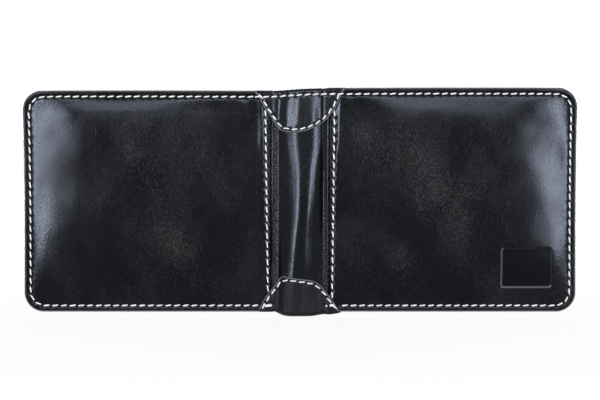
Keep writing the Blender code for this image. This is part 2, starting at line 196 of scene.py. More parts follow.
FOOT_EDGE = (
    (-10.8, 2.0), (-9.4, 1.3), (-7.6, 0.5), (-5.4, 0.1), (-3.6, 0), (3.6, 0),
    (6.0, 0.15), (8.0, 0.5), (10.5, 0.8), (14.0, 1.05), (17.0, 1.6), (18.0, 2.0),
)
TOP_ARC_HALF_WIDTH = 18.0 * MM
TOP_ARC_DEPTH = 17.3 * MM
FOOT_ARC_HALF_WIDTH = 16.0 * MM
FOOT_ARC_DEPTH = 13.9 * MM
PATCH_MARGIN = 1.3 * MM
PATCH_TIP = 0.9 * MM
PATCH_LIP = 6.0 * MM
STEP_RUN = 4.0 * MM
TOP_TURN_HALF_WIDTH = 10.6 * MM
TURN_FADE = 1.5 * MM
FOOT_HALF_WIDTH = 10.5 * MM
FOOT_LIP = 8.0 * MM
FOOT_DEPTH = 3.6 * MM
BRIDGE = 2.8 * MM
BRIDGE_SOFTNESS = 0.4 * MM
PATCH_FOLD_CLEAR = 1.5 * MM
PATCH_FOLD_RADIUS = 1.4 * MM
PATCH_SKIN_SHARE = 0.9
BACKSTITCHES = (millimetres(-15.6, -11.4), millimetres(10.3, 15.0))
BACKSTITCH_LIFTS = millimetres(-0.2, 0.25)
PATCH_SEAM_STEP = 0.5 * MM
SLOPE_REACH = 0.1 * MM
TOP_SEAM_CLEAR = 1.1 * MM
TOP_SEAM_LAP = 2.2 * MM

# Creases in the covers: distance from the spine seam, flare at the top, lowest and highest place,
# width and height
WRINKLES = {
    "back": (
        millimetres(4.0, 0.6, 60, 97, 1.8, 0.4),
        millimetres(1.5, 0.4, 30, 92, 0.8, 0.1),
        millimetres(8.0, 3.5, 68, 93, 1.9, 0.28),
    ),
    "front": (
        millimetres(2.4, 1.0, 58, 97, 1.6, 0.36),
        millimetres(1.4, 0.3, 6, 74, 0.8, 0.1),
        millimetres(5.5, 3.0, 70, 94, 1.7, 0.25),
    ),
}
WRINKLE_FLARE = 20.0 * MM
WRINKLE_FADES = millimetres(16, 5)
WRINKLE_CLEAR = 1.0 * MM
WRINKLE_BAND = millimetres(4.2, 13.0)
WRINKLE_STEP = 0.6 * MM
WRINKLE_WANDER = (14 * MM, 0.5 * MM)
WRINKLE_UNEVENNESS = (8 * MM, 0.6, 9.0)

# Relief of the leather: the bead along a cover's rim, the grooves that the seams pull, and waves,
# each given by size, height and seed
BEAD_HEIGHT = 0.14 * MM
BEAD_INSET = 1.0 * MM
BEAD_WIDTH = 0.7 * MM
PADDING_START = 0.2 * MM
PADDING_RUN = 2.0 * MM
GROOVE_WIDTH = 0.42 * MM
PATCH_GROOVE_WIDTH = 0.4 * MM
PATCH_GROOVE_SHARE = 0.7
CALM_RUN = 6.0 * MM
COVER_WAVES = ((24 * MM, 0.35 * MM, 1.7), (8 * MM, 0.06 * MM, 5.3))
SPINE_WAVES = (30 * MM, 0.25 * MM, 2.2)
PATCH_WAVES = (12 * MM, 0.22 * MM, 4.4)
STRIP_WAVES = (14 * MM, 0.25 * MM, 8.0)
STRIP_SOFT_REACH = 16.0 * MM
LAYER_WAVES = (22 * MM, 0.12 * MM)
LAYER_CALM_RUN = 5.0 * MM

# The crease pressed into a layer below its mouth: how far below, its depth and its width
MOUTH_CREASE = millimetres(1.7, 0.12, 0.28)

# Leather drawn in round the stitch holes: reach in widths, widths and depth, and how near to a
# layer's face a hole counts as its own
DIMPLE_REACH = 2.2
DIMPLE_WIDTH = 0.6 * MM
PATCH_DIMPLE_WIDTH = 0.55 * MM
LAYER_DIMPLE_DEPTH = 0.15 * MM
HOLE_TOLERANCE = 0.2 * MM

# How far in from an edge the leather is worn and painted pale, which is partly a painted highlight
# on the rounded edge
RIM_WEAR_AND_HIGHLIGHT = 1.2 * MM
PATCH_RIM_WEAR_AND_HIGHLIGHT = 1.0 * MM

# The angle from which an edge is drawn sharp, and roundings of the cut edges, outside and inside
SHARP_ANGLE = math.radians(50)
COVER_EDGES = millimetres(0.95, 0.3)
LAYER_EDGES = millimetres(0.15, 0.22)
LINING_EDGES = millimetres(0.12, 0.12)
SPINE_ROUNDING = 0.3 * MM
SPINE_SIDE_ROUNDING = 0.35 * MM
PATCH_ROUNDING = 0.4 * MM
STRIP_ROUNDING = 0.2 * MM
TONGUE_CORNER = 0.5 * MM
MOUTH_CORNER = 0.6 * MM
BACKING_CORNER = 3.0 * MM
WALL_CORNER = 5.0 * MM

# Paler patches rubbed into the covers: across and up of the middle, reach along and across a line
# that leans towards the spine at the top, and strength
RUBS = {
    "back": (
        (39, 27, 17, 8, 1.0),
        (55, 63, 16, 7, 0.7),
        (60, 40, 12, 6, 0.5),
        (23, 62, 22, 5, 0.35),
        (50, 84, 10, 20, 0.4),
    ),
    "front": (
        (17, 72, 16, 8, 0.8),
        (43, 55, 28, 9, 1.0),
        (31, 22, 8, 5, 0.9),
        (60, 40, 18, 8, 0.4),
        (10, 24, 8, 4, 0.5),
        (66, 76, 18, 9, 0.5),
    ),
}
RUB_LEAN = math.radians(24)

# Debossed plaque
PLAQUE_WIDTH = 21.3 * MM
PLAQUE_HEIGHT = 16.5 * MM
PLAQUE_FROM_END = 10.8 * MM
PLAQUE_FROM_BOTTOM = 10.6 * MM
PLAQUE_CORNER = 0.9 * MM
PLAQUE_WALL = 0.8 * MM
PLAQUE_LINES = (-2, -1.2, -0.6, -0.25, 0.25, 0.6, 1.2, 2)
# Strength of the pale line painted as a highlight along the plaque's walls: on the two walls that
# face the lamps, and on the other two
LIT_WALL_PAINTED_HIGHLIGHT = 2.6
DIM_WALL_PAINTED_HIGHLIGHT = 0.2

# Lines of the fine grids: distances in from an edge, and steps between them
COVER_INSETS = millimetres(
    8.4, 6.2, 4.9, 4.1, 3.6, 3.25, 3.0, 2.8, 2.6, 2.4,
    2.1, 1.7, 1.3, 0.95, 0.65, 0.42, 0.24, 0.1, 0.02, 0,
)
LAYER_INSETS = millimetres(
    8.4, 5.5, 4.0, 3.3, 2.9, 2.6, 2.3, 2.05, 1.85, 1.7, 1.55, 1.3, 1.0, 0.6, 0.32, 0.14, 0.04, 0
)
PATCH_INSETS = millimetres(0, 0.06, 0.18, 0.34, 0.6, 0.9, 1.15, 1.4, 1.7, 2.1)
STRIP_INSETS = millimetres(0.1, 0.3, 1.0)
COVER_STEP = 0.85 * MM
LAYER_STEP = 2.0 * MM
PATCH_STEP = 0.42 * MM
STRIP_STEP = 1.0 * MM
STRIP_ROW_STEP = 1.5 * MM
SPINE_ROWS = 150
SEAM_SLIVER = 0.02 * MM

# Where the pieces that cross a fold would start and end to bend, out from the middle
SPINE_BEND = millimetres(11.4, 13.8)
PATCH_BEND = millimetres(8.5, 17.0)
STRIP_BEND = millimetres(8.0, 16.5)

# Shape of a stitch: sides and steps of its mesh, how blunt its ends are, how flat it is, how
# high it rises and sinks in shares of the thread's width, and the power that shapes its rise
STITCH_SIDES = 8
STITCH_STEPS = 7
STITCH_BLUNTNESS = 2.6
STITCH_FLATNESS = 0.8
STITCH_RISE = 0.42
STITCH_SINK = 0.32
STITCH_DOMING = 0.6
WELD_DISTANCE = 0.002 * MM

# Each leather: the setting that holds its colour, its roughness, its specular level, the scale
# and depth of its grain, the shares of the colour in its darkest and palest clouds, and the depth
# of its upright streaks
LEATHERS = {
    "Cover leather": ("cover_colour", 0.2, 0.123, 1300.0, 0.021 * MM, (0.28, 3.4), 0.0),
    "Spine leather": ("spine_colour", 0.2, 0.135, 1700.0, 0.014 * MM, (0.5, 1.2), 0.01 * MM),
    "Top patch leather": ("spine_colour", 0.25, 0.2, 1700.0, 0.02 * MM, (0.6, 1.5), 0.01 * MM),
    "Bottom patch leather": ("spine_colour", 0.46, 0.14, 1700.0, 0.02 * MM, (0.6, 1.5), 0.01 * MM),
    "Pocket leather": ("pocket_colour", 0.3, 0.14, 1700.0, 0.03 * MM, (0.4, 2.2), 0.0),
}

# Colours that wear brings out and the tint of the leather's shine: dust for scuffs; pale specks,
# which are rubbed grain and partly painted glints of the grain; and a pale edge colour, which is
# worn edge paint and partly a painted highlight along the rounded rims, and a painted highlight
# along the plaque's walls. Then how strongly clouds, specks, scuffs and edges show, each pair being
# a growth and a least value, the share of the colour in the plaque's bed, where it is painted
# darker as shade in the recess, and how much duller wear makes the leather
DUST = (0.05, 0.049, 0.049)
SPECK_AND_GLINT = (0.046, 0.046, 0.048)
WORN_AND_HIGHLIGHT = (0.2, 0.2, 0.21)
SHINE_TINT = (0.7, 0.79, 1.0, 1.0)
CLOUD_GAIN = (0.7, 0.5)
SPECKS_IN_RUBS = 0.26
SPECKS_IN_CLOUDS = (0.35, 0.07)
SCUFF_SHOWN = 0.2
EDGE_AND_HIGHLIGHT_SHOWN = 0.85
BED_PAINTED_SHADE = 0.3
CLOUD_DULLS = 0.08
SCUFF_DULLS = 0.1
EDGE_DULLS = 0.2

# Patterns of the leather: their scales, or shares of the scale that they are given, how they are
# stretched and turned, and the values between which each ramp grows
GRAIN_WOBBLE = 0.6 * MM
FINE_SHARE = 1.9
PEBBLE_RAMP = (0.05, 0.75)
SPECK_SHARE = 1.45
SPECK_STRETCH = ((1.0, 1.0, 0.55), (0.0, 0.6, 0.0))
SPECK_RAMP = (0.46, 0.66)
MOTTLE_SCALE = 42.0
CLOUD_STRETCH = ((1.0, 1.0, 0.6), (0.0, -0.5, 0.0))
CLOUD_RAMP = (0.38, 0.74)
SCUFF_SCALE = 1300.0
SCUFF_STRETCH = (1.0, 1.0, 0.14)
SCUFF_TURNS = ((0.5, 0.0), (-0.8, 3.1), (1.5, 7.7))
SCUFF_RAMP = (0.62, 0.8)
SCUFF_PATCH_SHARE = 0.03
SCUFF_PATCH_RAMP = (0.42, 0.62)
WEAR_SCALE = 2300.0
WEAR_RAMP = (0.52, 0.68)
WEAR_BREAKS = (0.6, 0.4)
RIM_RAMP = (0.34, 0.62)
STREAK_SCALE = 900.0
STREAK_STRETCH = (1.0, 1.0, 0.06)

# Cloth: pitch of its weave, shares of twill and warp in it, scale of its fluff, the shares of the
# colour in its darkest and palest threads, and its relief
LINING_THREAD = 0.42 * MM
TWILL_SHARE = 0.35
WARP_SHARE = 0.15
FLUFF_SCALE = 2400.0
LINING_SHADES = (0.45, 1.6)
LINING_RELIEF = 0.08 * MM

# Thread: turns of its plies along and around it, their share of the relief and of the colour in
# their valleys, scales of fibres and soil, and how strongly and darkly soil shows
PLY_TURNS = {"X": 3.5, "Y": 2.0}
PLY_SHARE = 0.75
PLY_SHADE = 0.72
THREAD_RELIEF = 0.09 * MM
FIBRE_SCALE = 5000.0
SOIL_SCALE = 160.0
SOIL_RAMP = (0.45, 0.7)
SOIL_SHOWN = 0.3
SOIL_SHADE = 0.6

# Studio: directions of the side softboxes and how far their tops lean towards the middle, their
# place and size, and the same of the boxes above the front and the back. The floor's glow is given
# by where it starts and ends to grow, out from the middle, and its strength there.
SOFTBOXES = {"front_left": -38, "front_right": 38, "back_left": -142, "back_right": 142}
SOFTBOX_LEAN = math.radians(28)
SOFTBOX_DISTANCE = 0.9
SOFTBOX_LIFT = 0.018
SOFTBOX_SIZE = (0.07, 0.42)
TOP_BOXES = {"front_top": -1, "back_top": 1}
TOP_BOX_DISTANCE = 0.85
TOP_BOX_LIFT = 0.36
TOP_BOX_SIZE = (1.3, 0.14)
TOP_BOX_SHARE = 1.3
CAMERA_LIFT = 0.9 * MM
CAMERA_LENS = 100
CAMERA_SENSOR = 36
FLOOR_RADIUS = 2.5
FLOOR_SIDES = 96
FLOOR_DROP = 0.1 * MM
FLOOR_COLOUR = (0.85, 0.85, 0.85, 1)
FLOOR_FADE = (0.15, 0.6, 0.9, 1.0)
WHITE = {"Color": (1, 1, 1, 1), "Strength": 1.0}
SKY = (0.9, 0.95, 1.0, 1)
SKY_STRENGTH = 0.06


def clamp(value, low=0.0, high=1.0):
    return min(max(value, low), high)


def smooth(share):
    share = clamp(share)
    return share * share * (3 - 2 * share)


def rise(distance, run):
    """A share that grows from 0 to 1 along a run, fast at first, as leather swells from a seam."""
    return 1 - (1 - clamp(distance / run)) ** 2


def hump(offset, width):
    return math.exp(-((offset / width) ** 2))


def round_off(inset, radius):
    """How far a rounded edge falls back, this far in from the outline."""
    return radius - math.sqrt(max(radius**2 - max(radius - inset, 0) ** 2, 0))


def through(knots, place):
    """A smooth curve through knots, each a place and a value."""
    index = max([0] + [i for i, knot in enumerate(knots[:-1]) if knot[0] <= place])
    first, last = max(index - 1, 0), min(index + 2, len(knots) - 1)
    (p0, v0), (p1, v1), (p2, v2), (p3, v3) = (knots[i] for i in (first, index, index + 1, last))
    run = p2 - p1
    share = clamp((place - p1) / run)
    slope_in = (v2 - v0) / (p2 - p0) * run
    slope_out = (v3 - v1) / (p3 - p1) * run
    square, cube = share**2, share**3
    return (
        v1 * (2 * cube - 3 * square + 1)
        + slope_in * (cube - 2 * square + share)
        + v2 * (3 * square - 2 * cube)
        + slope_out * (cube - square)
    )


def spread(start, end, step):
    count = max(math.ceil(abs(end - start) / step), 1)
    return [start + (end - start) * index / count for index in range(count + 1)]


def ripple(x, z, size, depth, seed):
    """Gentle unevenness of hand-worked leather."""
    return depth * noise.noise(Vector((x / size, z / size, seed)))


class Half:
    """One half of the wallet."""

    def __init__(self, name):
        self.name = name
        self.side = SIDES[name]
        self.height = HEIGHTS[name]
        self.body = f"{name}_half"

    def end(self, up):
        return HALF_LENGTH + TOP_FLARE * (up / self.height) ** 3

    def from_edge(self, across, up):
        """How far in from the rounded outline a place is, leaving out the side at the spine."""
        aside = self.end(up) - across
        inside = min(up, self.height - up)
        if aside < CORNER_RADIUS and inside < CORNER_RADIUS:
            return CORNER_RADIUS - math.hypot(CORNER_RADIUS - aside, CORNER_RADIUS - inside)
        return min(aside, inside)

    def swell(self, across, up):
        low, high = END_RUNS[self.name]
        run = low + (high - low) * smooth(up / self.height)
        from_end = rise(self.end(up) - SEAM_CLEAR - across, run)
        from_spine = rise(across - SWELL_START, SPINE_RUNS[self.name])
        from_foot = rise(up - SEAM_CLEAR, FOOT_RUN)
        crown = smooth((self.end(up) - across) / CROWN_RUN) * smooth(across / CROWN_RUN)
        short = MOUTH_DROP * (1 - rise(self.height - SEAM_CLEAR - up, MOUTH_RUN))
        shorter = math.hypot(1 - from_end, short * math.sqrt(1 - (1 - from_end) ** 2))
        return (SWELL + CROWN * crown) * (1 - shorter) * from_spine * from_foot

    def spine_seam(self, up):
        lean = (SPINE_SEAM_TOP - SPINE_SEAM_BOTTOM) / self.height
        return SPINE_SEAM_BOTTOM + lean * up

    def place(self, across, depth, up):
        return Vector((self.side * (FOLD_X + across), DATUM + depth, FOOT_DROP + up))


HALVES = {name: Half(name) for name in SIDES}


def crest(x):
    """Height of the wallet's top edge across the spine."""
    share = clamp((x + FOLD_X) / (2 * FOLD_X))
    return FOOT_DROP + HEIGHTS["back"] + (HEIGHTS["front"] - HEIGHTS["back"]) * share


def foot(x):
    """Height of the underside of the spine's foot."""
    return max(through(FOOT_EDGE, x / MM), 0) * MM


def facet_fall(away, width, slope):
    """How far the roll falls beside its crest, curving less beyond the width than within it."""
    share = away / width
    beyond = max(share - 1, 0)
    return slope * width * (min(share, 1) ** 2 / 2 + beyond + FLANK_CURVING * beyond**2 / 2)


def roll(x, z):
    """How far the spine leather is rolled outwards."""
    side = 1 if x > 0 else -1
    share = clamp((z - FOOT_DROP) / (crest(x) - FOOT_DROP))
    height, top, width = (
        through(knots, share) * MM for knots in (ROLL_HEIGHTS, CREST_PLACES, CREST_WIDTHS)
    )
    slope = through(CREST_SLOPES, share)
    away = abs(x - top)
    edge = ROLL_EDGES[1] - top if x > top else ROLL_EDGES[-1] + top
    if away < edge:
        short = height - FLANGE_HEIGHT - facet_fall(edge, width, slope)
        shoulder = min(SHOULDER[0] * width, SHOULDER[1] * edge)
        steeper = short * (max(away - shoulder, 0) / (edge - shoulder)) ** 2
        return height - facet_fall(away, width, slope) - steeper
    share = clamp((abs(x) - ROLL_EDGES[side]) / (FLANGE_END - ROLL_EDGES[side]))
    dip = smooth((abs(x) - FLANGE_END) / (FOLD_X - FLANGE_END))
    return FLANGE_HEIGHT * (1 - FLANGE_SLOPE * share) * (1 - dip)


def outside_at(x, z):
    """How far the spine or the cover beside it stands out."""
    half = HALVES["front" if x > 0 else "back"]
    beyond = abs(x) - FOLD_X
    if beyond > 0:
        return COVER_REACH + half.swell(beyond, z - FOOT_DROP)
    step = COVER_REACH * smooth((beyond + COVER_START + STEP_RUN) / STEP_RUN)
    return max(roll(x, z), step)


def bridged(x, z):
    """How far a patch is held out, where it spans the hollows under it."""
    weights = {step: 4 - abs(step) for step in range(-3, 4)}
    around = (weight * outside_at(x + BRIDGE * (step / 3), z) for step, weight in weights.items())
    level = sum(around) / sum(weights.values())
    held = outside_at(x, z)
    return (level + held + math.hypot(level - held, BRIDGE_SOFTNESS)) / 2


def seam_reach(knots, x, margin, half_width, depth):
    """How far a patch's seam, or its edge a margin outside it, lies from its folded edge."""
    place = clamp(x / (1 + margin / half_width) / MM, knots[0][0], knots[-1][0])
    return max(through(knots, place) * MM * (1 + margin / depth), PATCH_TIP)


def top_arc(x, margin=0.0):
    return crest(x) - seam_reach(TOP_SEAM, x, margin, TOP_ARC_HALF_WIDTH, TOP_ARC_DEPTH)


def foot_arc(x, margin=0.0):
    return FOOT_DROP + seam_reach(FOOT_SEAM, x, margin, FOOT_ARC_HALF_WIDTH, FOOT_ARC_DEPTH)


def slope_length(edge, x):
    """How much longer a step up is than a step square to a sloping edge."""
    rise_there = edge(x + SLOPE_REACH) - edge(x - SLOPE_REACH)
    return math.hypot(1, rise_there / (2 * SLOPE_REACH))


def plaque_bed(across, up):
    """A share that is 1 in the bed of the plaque and falls to 0 at its rim."""
    centre_across = HALF_LENGTH - PLAQUE_FROM_END - PLAQUE_WIDTH / 2
    centre_up = PLAQUE_FROM_BOTTOM + PLAQUE_HEIGHT / 2
    aside = abs(across - centre_across) - PLAQUE_WIDTH / 2 + PLAQUE_CORNER
    above = abs(up - centre_up) - PLAQUE_HEIGHT / 2 + PLAQUE_CORNER
    outside = math.hypot(max(aside, 0), max(above, 0)) + min(max(aside, above), 0) - PLAQUE_CORNER
    return smooth(0.5 - outside / PLAQUE_WALL)


def plaque_lip_highlight(across, up):
    """A share for the pale line painted as a highlight on the plaque's walls, highest along the two
    walls that catch the light.
    """
    bed = plaque_bed(across, up)
    left = HALF_LENGTH - PLAQUE_FROM_END - PLAQUE_WIDTH + PLAQUE_WALL
    facing = across < left or up < PLAQUE_FROM_BOTTOM + PLAQUE_WALL
    return (LIT_WALL_PAINTED_HIGHLIGHT if facing else DIM_WALL_PAINTED_HIGHLIGHT) * bed * (1 - bed)


def plaque_lines(low, high):
    """Grid lines that follow the two walls of the plaque, which lie at low and high."""
    return [edge + reach * PLAQUE_WALL for edge in (low, high) for reach in PLAQUE_LINES]


# Panels


def slab(columns, rows, place, keep=None, marks=None):
    """A closed sheet made from a grid. Place turns a column, a row and a level into a point.

    Level 0 is the outer face and level 1 the inner one. Keep says which of the grid's faces stay,
    and marks gives the values of named attributes by column and row.
    """
    body = bmesh.new()
    bmesh.ops.create_grid(body, x_segments=columns, y_segments=rows, size=1)
    for vertex in body.verts:
        column = round((vertex.co.x + 1) / 2 * columns)
        row = round((vertex.co.y + 1) / 2 * rows)
        vertex.co = (column, 0, row)
    if keep:
        dropped = [face for face in body.faces if not keep(*face.calc_center_median().xz)]
        bmesh.ops.delete(body, geom=dropped, context="FACES")
    grown = bmesh.ops.extrude_face_region(body, geom=body.faces[:])
    for item in grown["geom"]:
        if isinstance(item, bmesh.types.BMVert):
            item.co.y = 1
    layers = {name: body.verts.layers.float.new(name) for name in marks or {}}
    for vertex in body.verts:
        column, level, row = (round(value) for value in vertex.co)
        for name, layer in layers.items():
            vertex[layer] = marks[name](column, row)
        vertex.co = place(column, row, level)
    return body


def corner_point(inset, turn, band, radius):
    """A place in a grid's corner block, measured from the block's inner corner.

    It lies on the line this far in from the edge, at a share of the way round the corner.
    """
    bend = max(radius - inset, 0)
    straight = band - max(radius, inset)
    length = straight + bend * math.pi / 4
    along = 2 * length * min(turn, 1 - turn)
    reach = band - inset
    if along <= straight or bend == 0:
        found = (reach, along)
    else:
        angle = (along - straight) / bend
        found = (reach - bend * (1 - math.cos(angle)), straight + bend * math.sin(angle))
    return found if turn <= 1 / 2 else found[::-1]


class Panel:
    """The grid of one layer of a half, with fine lines along its edges and round its corners."""

    def __init__(self, half, start, low, high, inset, insets, step, top_radius, extra=((), ())):
        self.half = half
        self.insets = insets
        self.radii = (CORNER_RADIUS - inset, top_radius)
        self.rings = len(insets) - 1
        band = insets[0]
        end = HALF_LENGTH - inset - band
        edge = [start + offset for offset in reversed(insets)]
        middle = spread(edge[-1], end, step)[1:]
        self.across = self.merged(edge + middle, extra[0], step)
        self.up = self.merged(spread(low + band, high - band, step), extra[1], step)
        self.columns = len(self.across) - 1 + self.rings
        self.rows = len(self.up) - 1 + 2 * self.rings
        self.end = end

    @staticmethod
    def merged(lines, extra, step):
        """The lines with the extra ones, leaving out lines that would crowd those."""
        kept = [
            line
            for line in lines
            if line in (lines[0], lines[-1]) or all(abs(line - other) > step / 3 for other in extra)
        ]
        return sorted(kept + list(extra))

    def spot(self, column, row):
        """Across and up of a grid point."""
        outer = max(column - len(self.across) + 1, 0)
        above = row - self.rings - len(self.up) + 1
        below = self.rings - row
        beyond = max(above, below, 0)
        up = self.up[int(clamp(row - self.rings, 0, len(self.up) - 1))]
        band = self.insets[0]
        ring = max(outer, beyond)
        inset = self.insets[ring]
        turn = 0.0
        if ring:
            turn = beyond / ring / 2 if outer >= beyond else 1 - outer / ring / 2
        aside, away = corner_point(inset, turn, band, self.radii[above > 0])
        if not outer:
            away = band - inset
        if beyond:
            up += away if above > 0 else -away
        flare = self.half.end(up) - HALF_LENGTH
        if outer:
            return self.end + flare + aside, up
        across = self.across[column]
        share = clamp((across - self.across[0]) / (self.end - self.across[0]))
        return across + flare * share, up

    def outer_inset(self, column, row):
        """How far in from the layer's outline a grid point lies, leaving out its spine side."""
        outer = max(column - len(self.across) + 1, 0)
        beyond = max(row - self.rings - len(self.up) + 1, self.rings - row, 0)
        return self.insets[max(outer, beyond)]

    def build(self, outer, inner, edges, keep=None, marks=None):
        """A closed sheet whose outer and inner depth are given by functions of across and up.

        Marks gives the values of more named attributes, also by across and up.
        """

        def place(column, row, level):
            across, up = self.spot(column, row)
            inset = self.outer_inset(column, row)
            beside = round_off(across - self.across[0], min(edges[level], SPINE_SIDE_ROUNDING))
            fall = max(round_off(inset, edges[level]), beside)
            depth = inner(across, up) - fall if level else outer(across, up) + fall
            return self.half.place(across, depth, up)

        def rim(column, row):
            return 1 - clamp(self.outer_inset(column, row) / RIM_WEAR_AND_HIGHLIGHT)

        def kept(column, row):
            low, high = self.spot(int(column), int(row)), self.spot(int(column) + 1, int(row) + 1)
            return keep((low[0] + high[0]) / 2, (low[1] + high[1]) / 2)

        placed = {
            name: lambda column, row, value=value: value(*self.spot(column, row))
            for name, value in (marks or {}).items()
        }
        placed["rim"] = rim
        return slab(self.columns, self.rows, place, kept if keep else None, placed)


def dimple(body, holes, depth, width, sign=1):
    """Draws the leather in round each stitch hole."""
    tree = kdtree.KDTree(len(body.verts))
    for index, vertex in enumerate(body.verts):
        tree.insert(vertex.co, index)
    tree.balance()
    body.verts.ensure_lookup_table()
    for hole in holes:
        for place, index, _distance in tree.find_range(hole, DIMPLE_REACH * width):
            away = math.hypot(place.x - hole.x, place.z - hole.z)
            body.verts[index].co.y += sign * depth * hump(away, width)


def show(name, data):
    item = bpy.data.objects.new(name, data)
    bpy.context.scene.collection.objects.link(item)
    return item


def mesh_from(name, body, finish):
    mesh = bpy.data.meshes.new(name)
    body.to_mesh(mesh)
    body.free()
    mesh.materials.append(finish)
    return mesh


def object_from(name, body, finish):
    """Turns a bmesh into a shown piece with its place in its mesh."""
    bmesh.ops.recalc_face_normals(body, faces=body.faces[:])
    mesh = mesh_from(name, body, finish)
    mesh.shade_smooth()
    mesh.set_sharp_from_angle(angle=SHARP_ANGLE)
    piece = show(name, mesh)
    return piece


def bend_with(piece, half, bend):
    """Bakes the transform of a piece that crosses the fold into its mesh."""
    start, end = (Vector((half.side * reach, DATUM, 0)) for reach in bend)
    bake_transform(piece)
    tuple(start)
    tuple(end)


# Stitches


def walk(path, pitch):
    """Points at an even pitch along a path, with the pitch fitted to the path's length."""
    lengths = [0.0]
    for before, after in zip(path, path[1:]):
        lengths.append(lengths[-1] + math.dist(before, after))
    count = max(round(lengths[-1] / pitch), 1)
    points = []
    index = 0
    for step in range(count + 1):
        along = lengths[-1] * step / count
        while index < len(path) - 2 and lengths[index + 1] < along:
            index += 1
        share = (along - lengths[index]) / (lengths[index + 1] - lengths[index])
        points.append([a + (b - a) * share for a, b in zip(path[index], path[index + 1])])
    return points


def arc_points(centre_across, centre_up, radius, start, end):
    """Points round a corner, with angles measured from outwards to up."""
    angles = [start + (end - start) * step / ARC_STEPS for step in range(ARC_STEPS + 1)]
    return [
        (centre_across + radius * math.cos(angle), centre_up + radius * math.sin(angle))
        for angle in angles
    ]


def rim_path(half):
    """The seam round one half, outwards along the top, down the end and back along the bottom."""
    quarter = math.pi / 2
    radius = CORNER_RADIUS - SEAM_INSET
    high, low = half.height - CORNER_RADIUS, CORNER_RADIUS
    start = TOP_ARC_HALF_WIDTH + PATCH_MARGIN - FOLD_X
    end = FOOT_ARC_HALF_WIDTH + PATCH_MARGIN - FOLD_X
    return [
        (start, half.height - SEAM_INSET),
        *arc_points(half.end(high) - CORNER_RADIUS, high, radius, quarter, 0),
        *((half.end(up) - SEAM_INSET, up) for up in spread(high, low, 4 * MM)[1:-1]),
        *arc_points(half.end(low) - CORNER_RADIUS, low, radius, 0, -quarter),
        (end, SEAM_INSET),
    ]


def stitch_ends(points, slant):
    """Both ends of each stitch between the holes of a seam, turned a little off the seam's line."""
    gap = bpy.context.scene.wallet_stitches.gap / 2
    ends = []
    for before, after in zip(points, points[1:]):
        run = math.dist(before, after)
        along = [(b - a) / run for a, b in zip(before, after)]
        square = (-along[1], along[0])
        first = [p + gap * d - slant * s for p, d, s in zip(before, along, square)]
        second = [p - gap * d + slant * s for p, d, s in zip(after, along, square)]
        ends.append((first, second))
    return ends


def add_stitch(body, first, second, outwards, size):
    """One stitch of twisted thread, dipping into its hole at each end."""
    grid = bmesh.ops.create_grid(
        body, x_segments=STITCH_STEPS, y_segments=STITCH_SIDES, size=1, calc_uvs=True
    )
    run = second - first
    across = run.cross(outwards).normalized()
    lift = across.cross(run).normalized()
    if lift.dot(outwards) < 0:
        lift = -lift
    for vertex in grid["verts"]:
        share = (vertex.co.x + 1) / 2
        angle = math.pi * (vertex.co.y + 1)
        dome = math.sin(math.pi * clamp(share))
        radius = size / 2 * clamp(dome * STITCH_BLUNTNESS) ** 0.5
        height = size * (STITCH_RISE * dome**STITCH_DOMING - STITCH_SINK)
        spoke = across * math.cos(angle) + lift * STITCH_FLATNESS * math.sin(angle)
        vertex.co = first + run * share + lift * height + spoke * radius


def sew(half, path, face, looks):
    """The stitches of a seam, as both ends on a face of a half and the way that the face looks."""
    stitches = bpy.context.scene.wallet_stitches
    rows = []
    for ends in stitch_ends(walk(path, stitches.pitch), -looks * stitches.slant * half.side):
        first, second = (half.place(across, face(across, up), up) for across, up in ends)
        rows.append((first, second, Vector((0, looks, 0))))
    return rows


def holes_of(rows):
    return [end for row in rows for end in row[:2]]


def make_stitches(name, rows):
    """Rows of stitches as one piece."""
    body = bmesh.new()
    body.loops.layers.uv.new("thread")
    size = bpy.context.scene.wallet_stitches.width
    for first, second, outwards in rows:
        add_stitch(body, first, second, outwards, size)
    bmesh.ops.remove_doubles(body, verts=body.verts[:], dist=WELD_DISTANCE)
    return object_from(name, body, waxed_thread())


# Shader parts


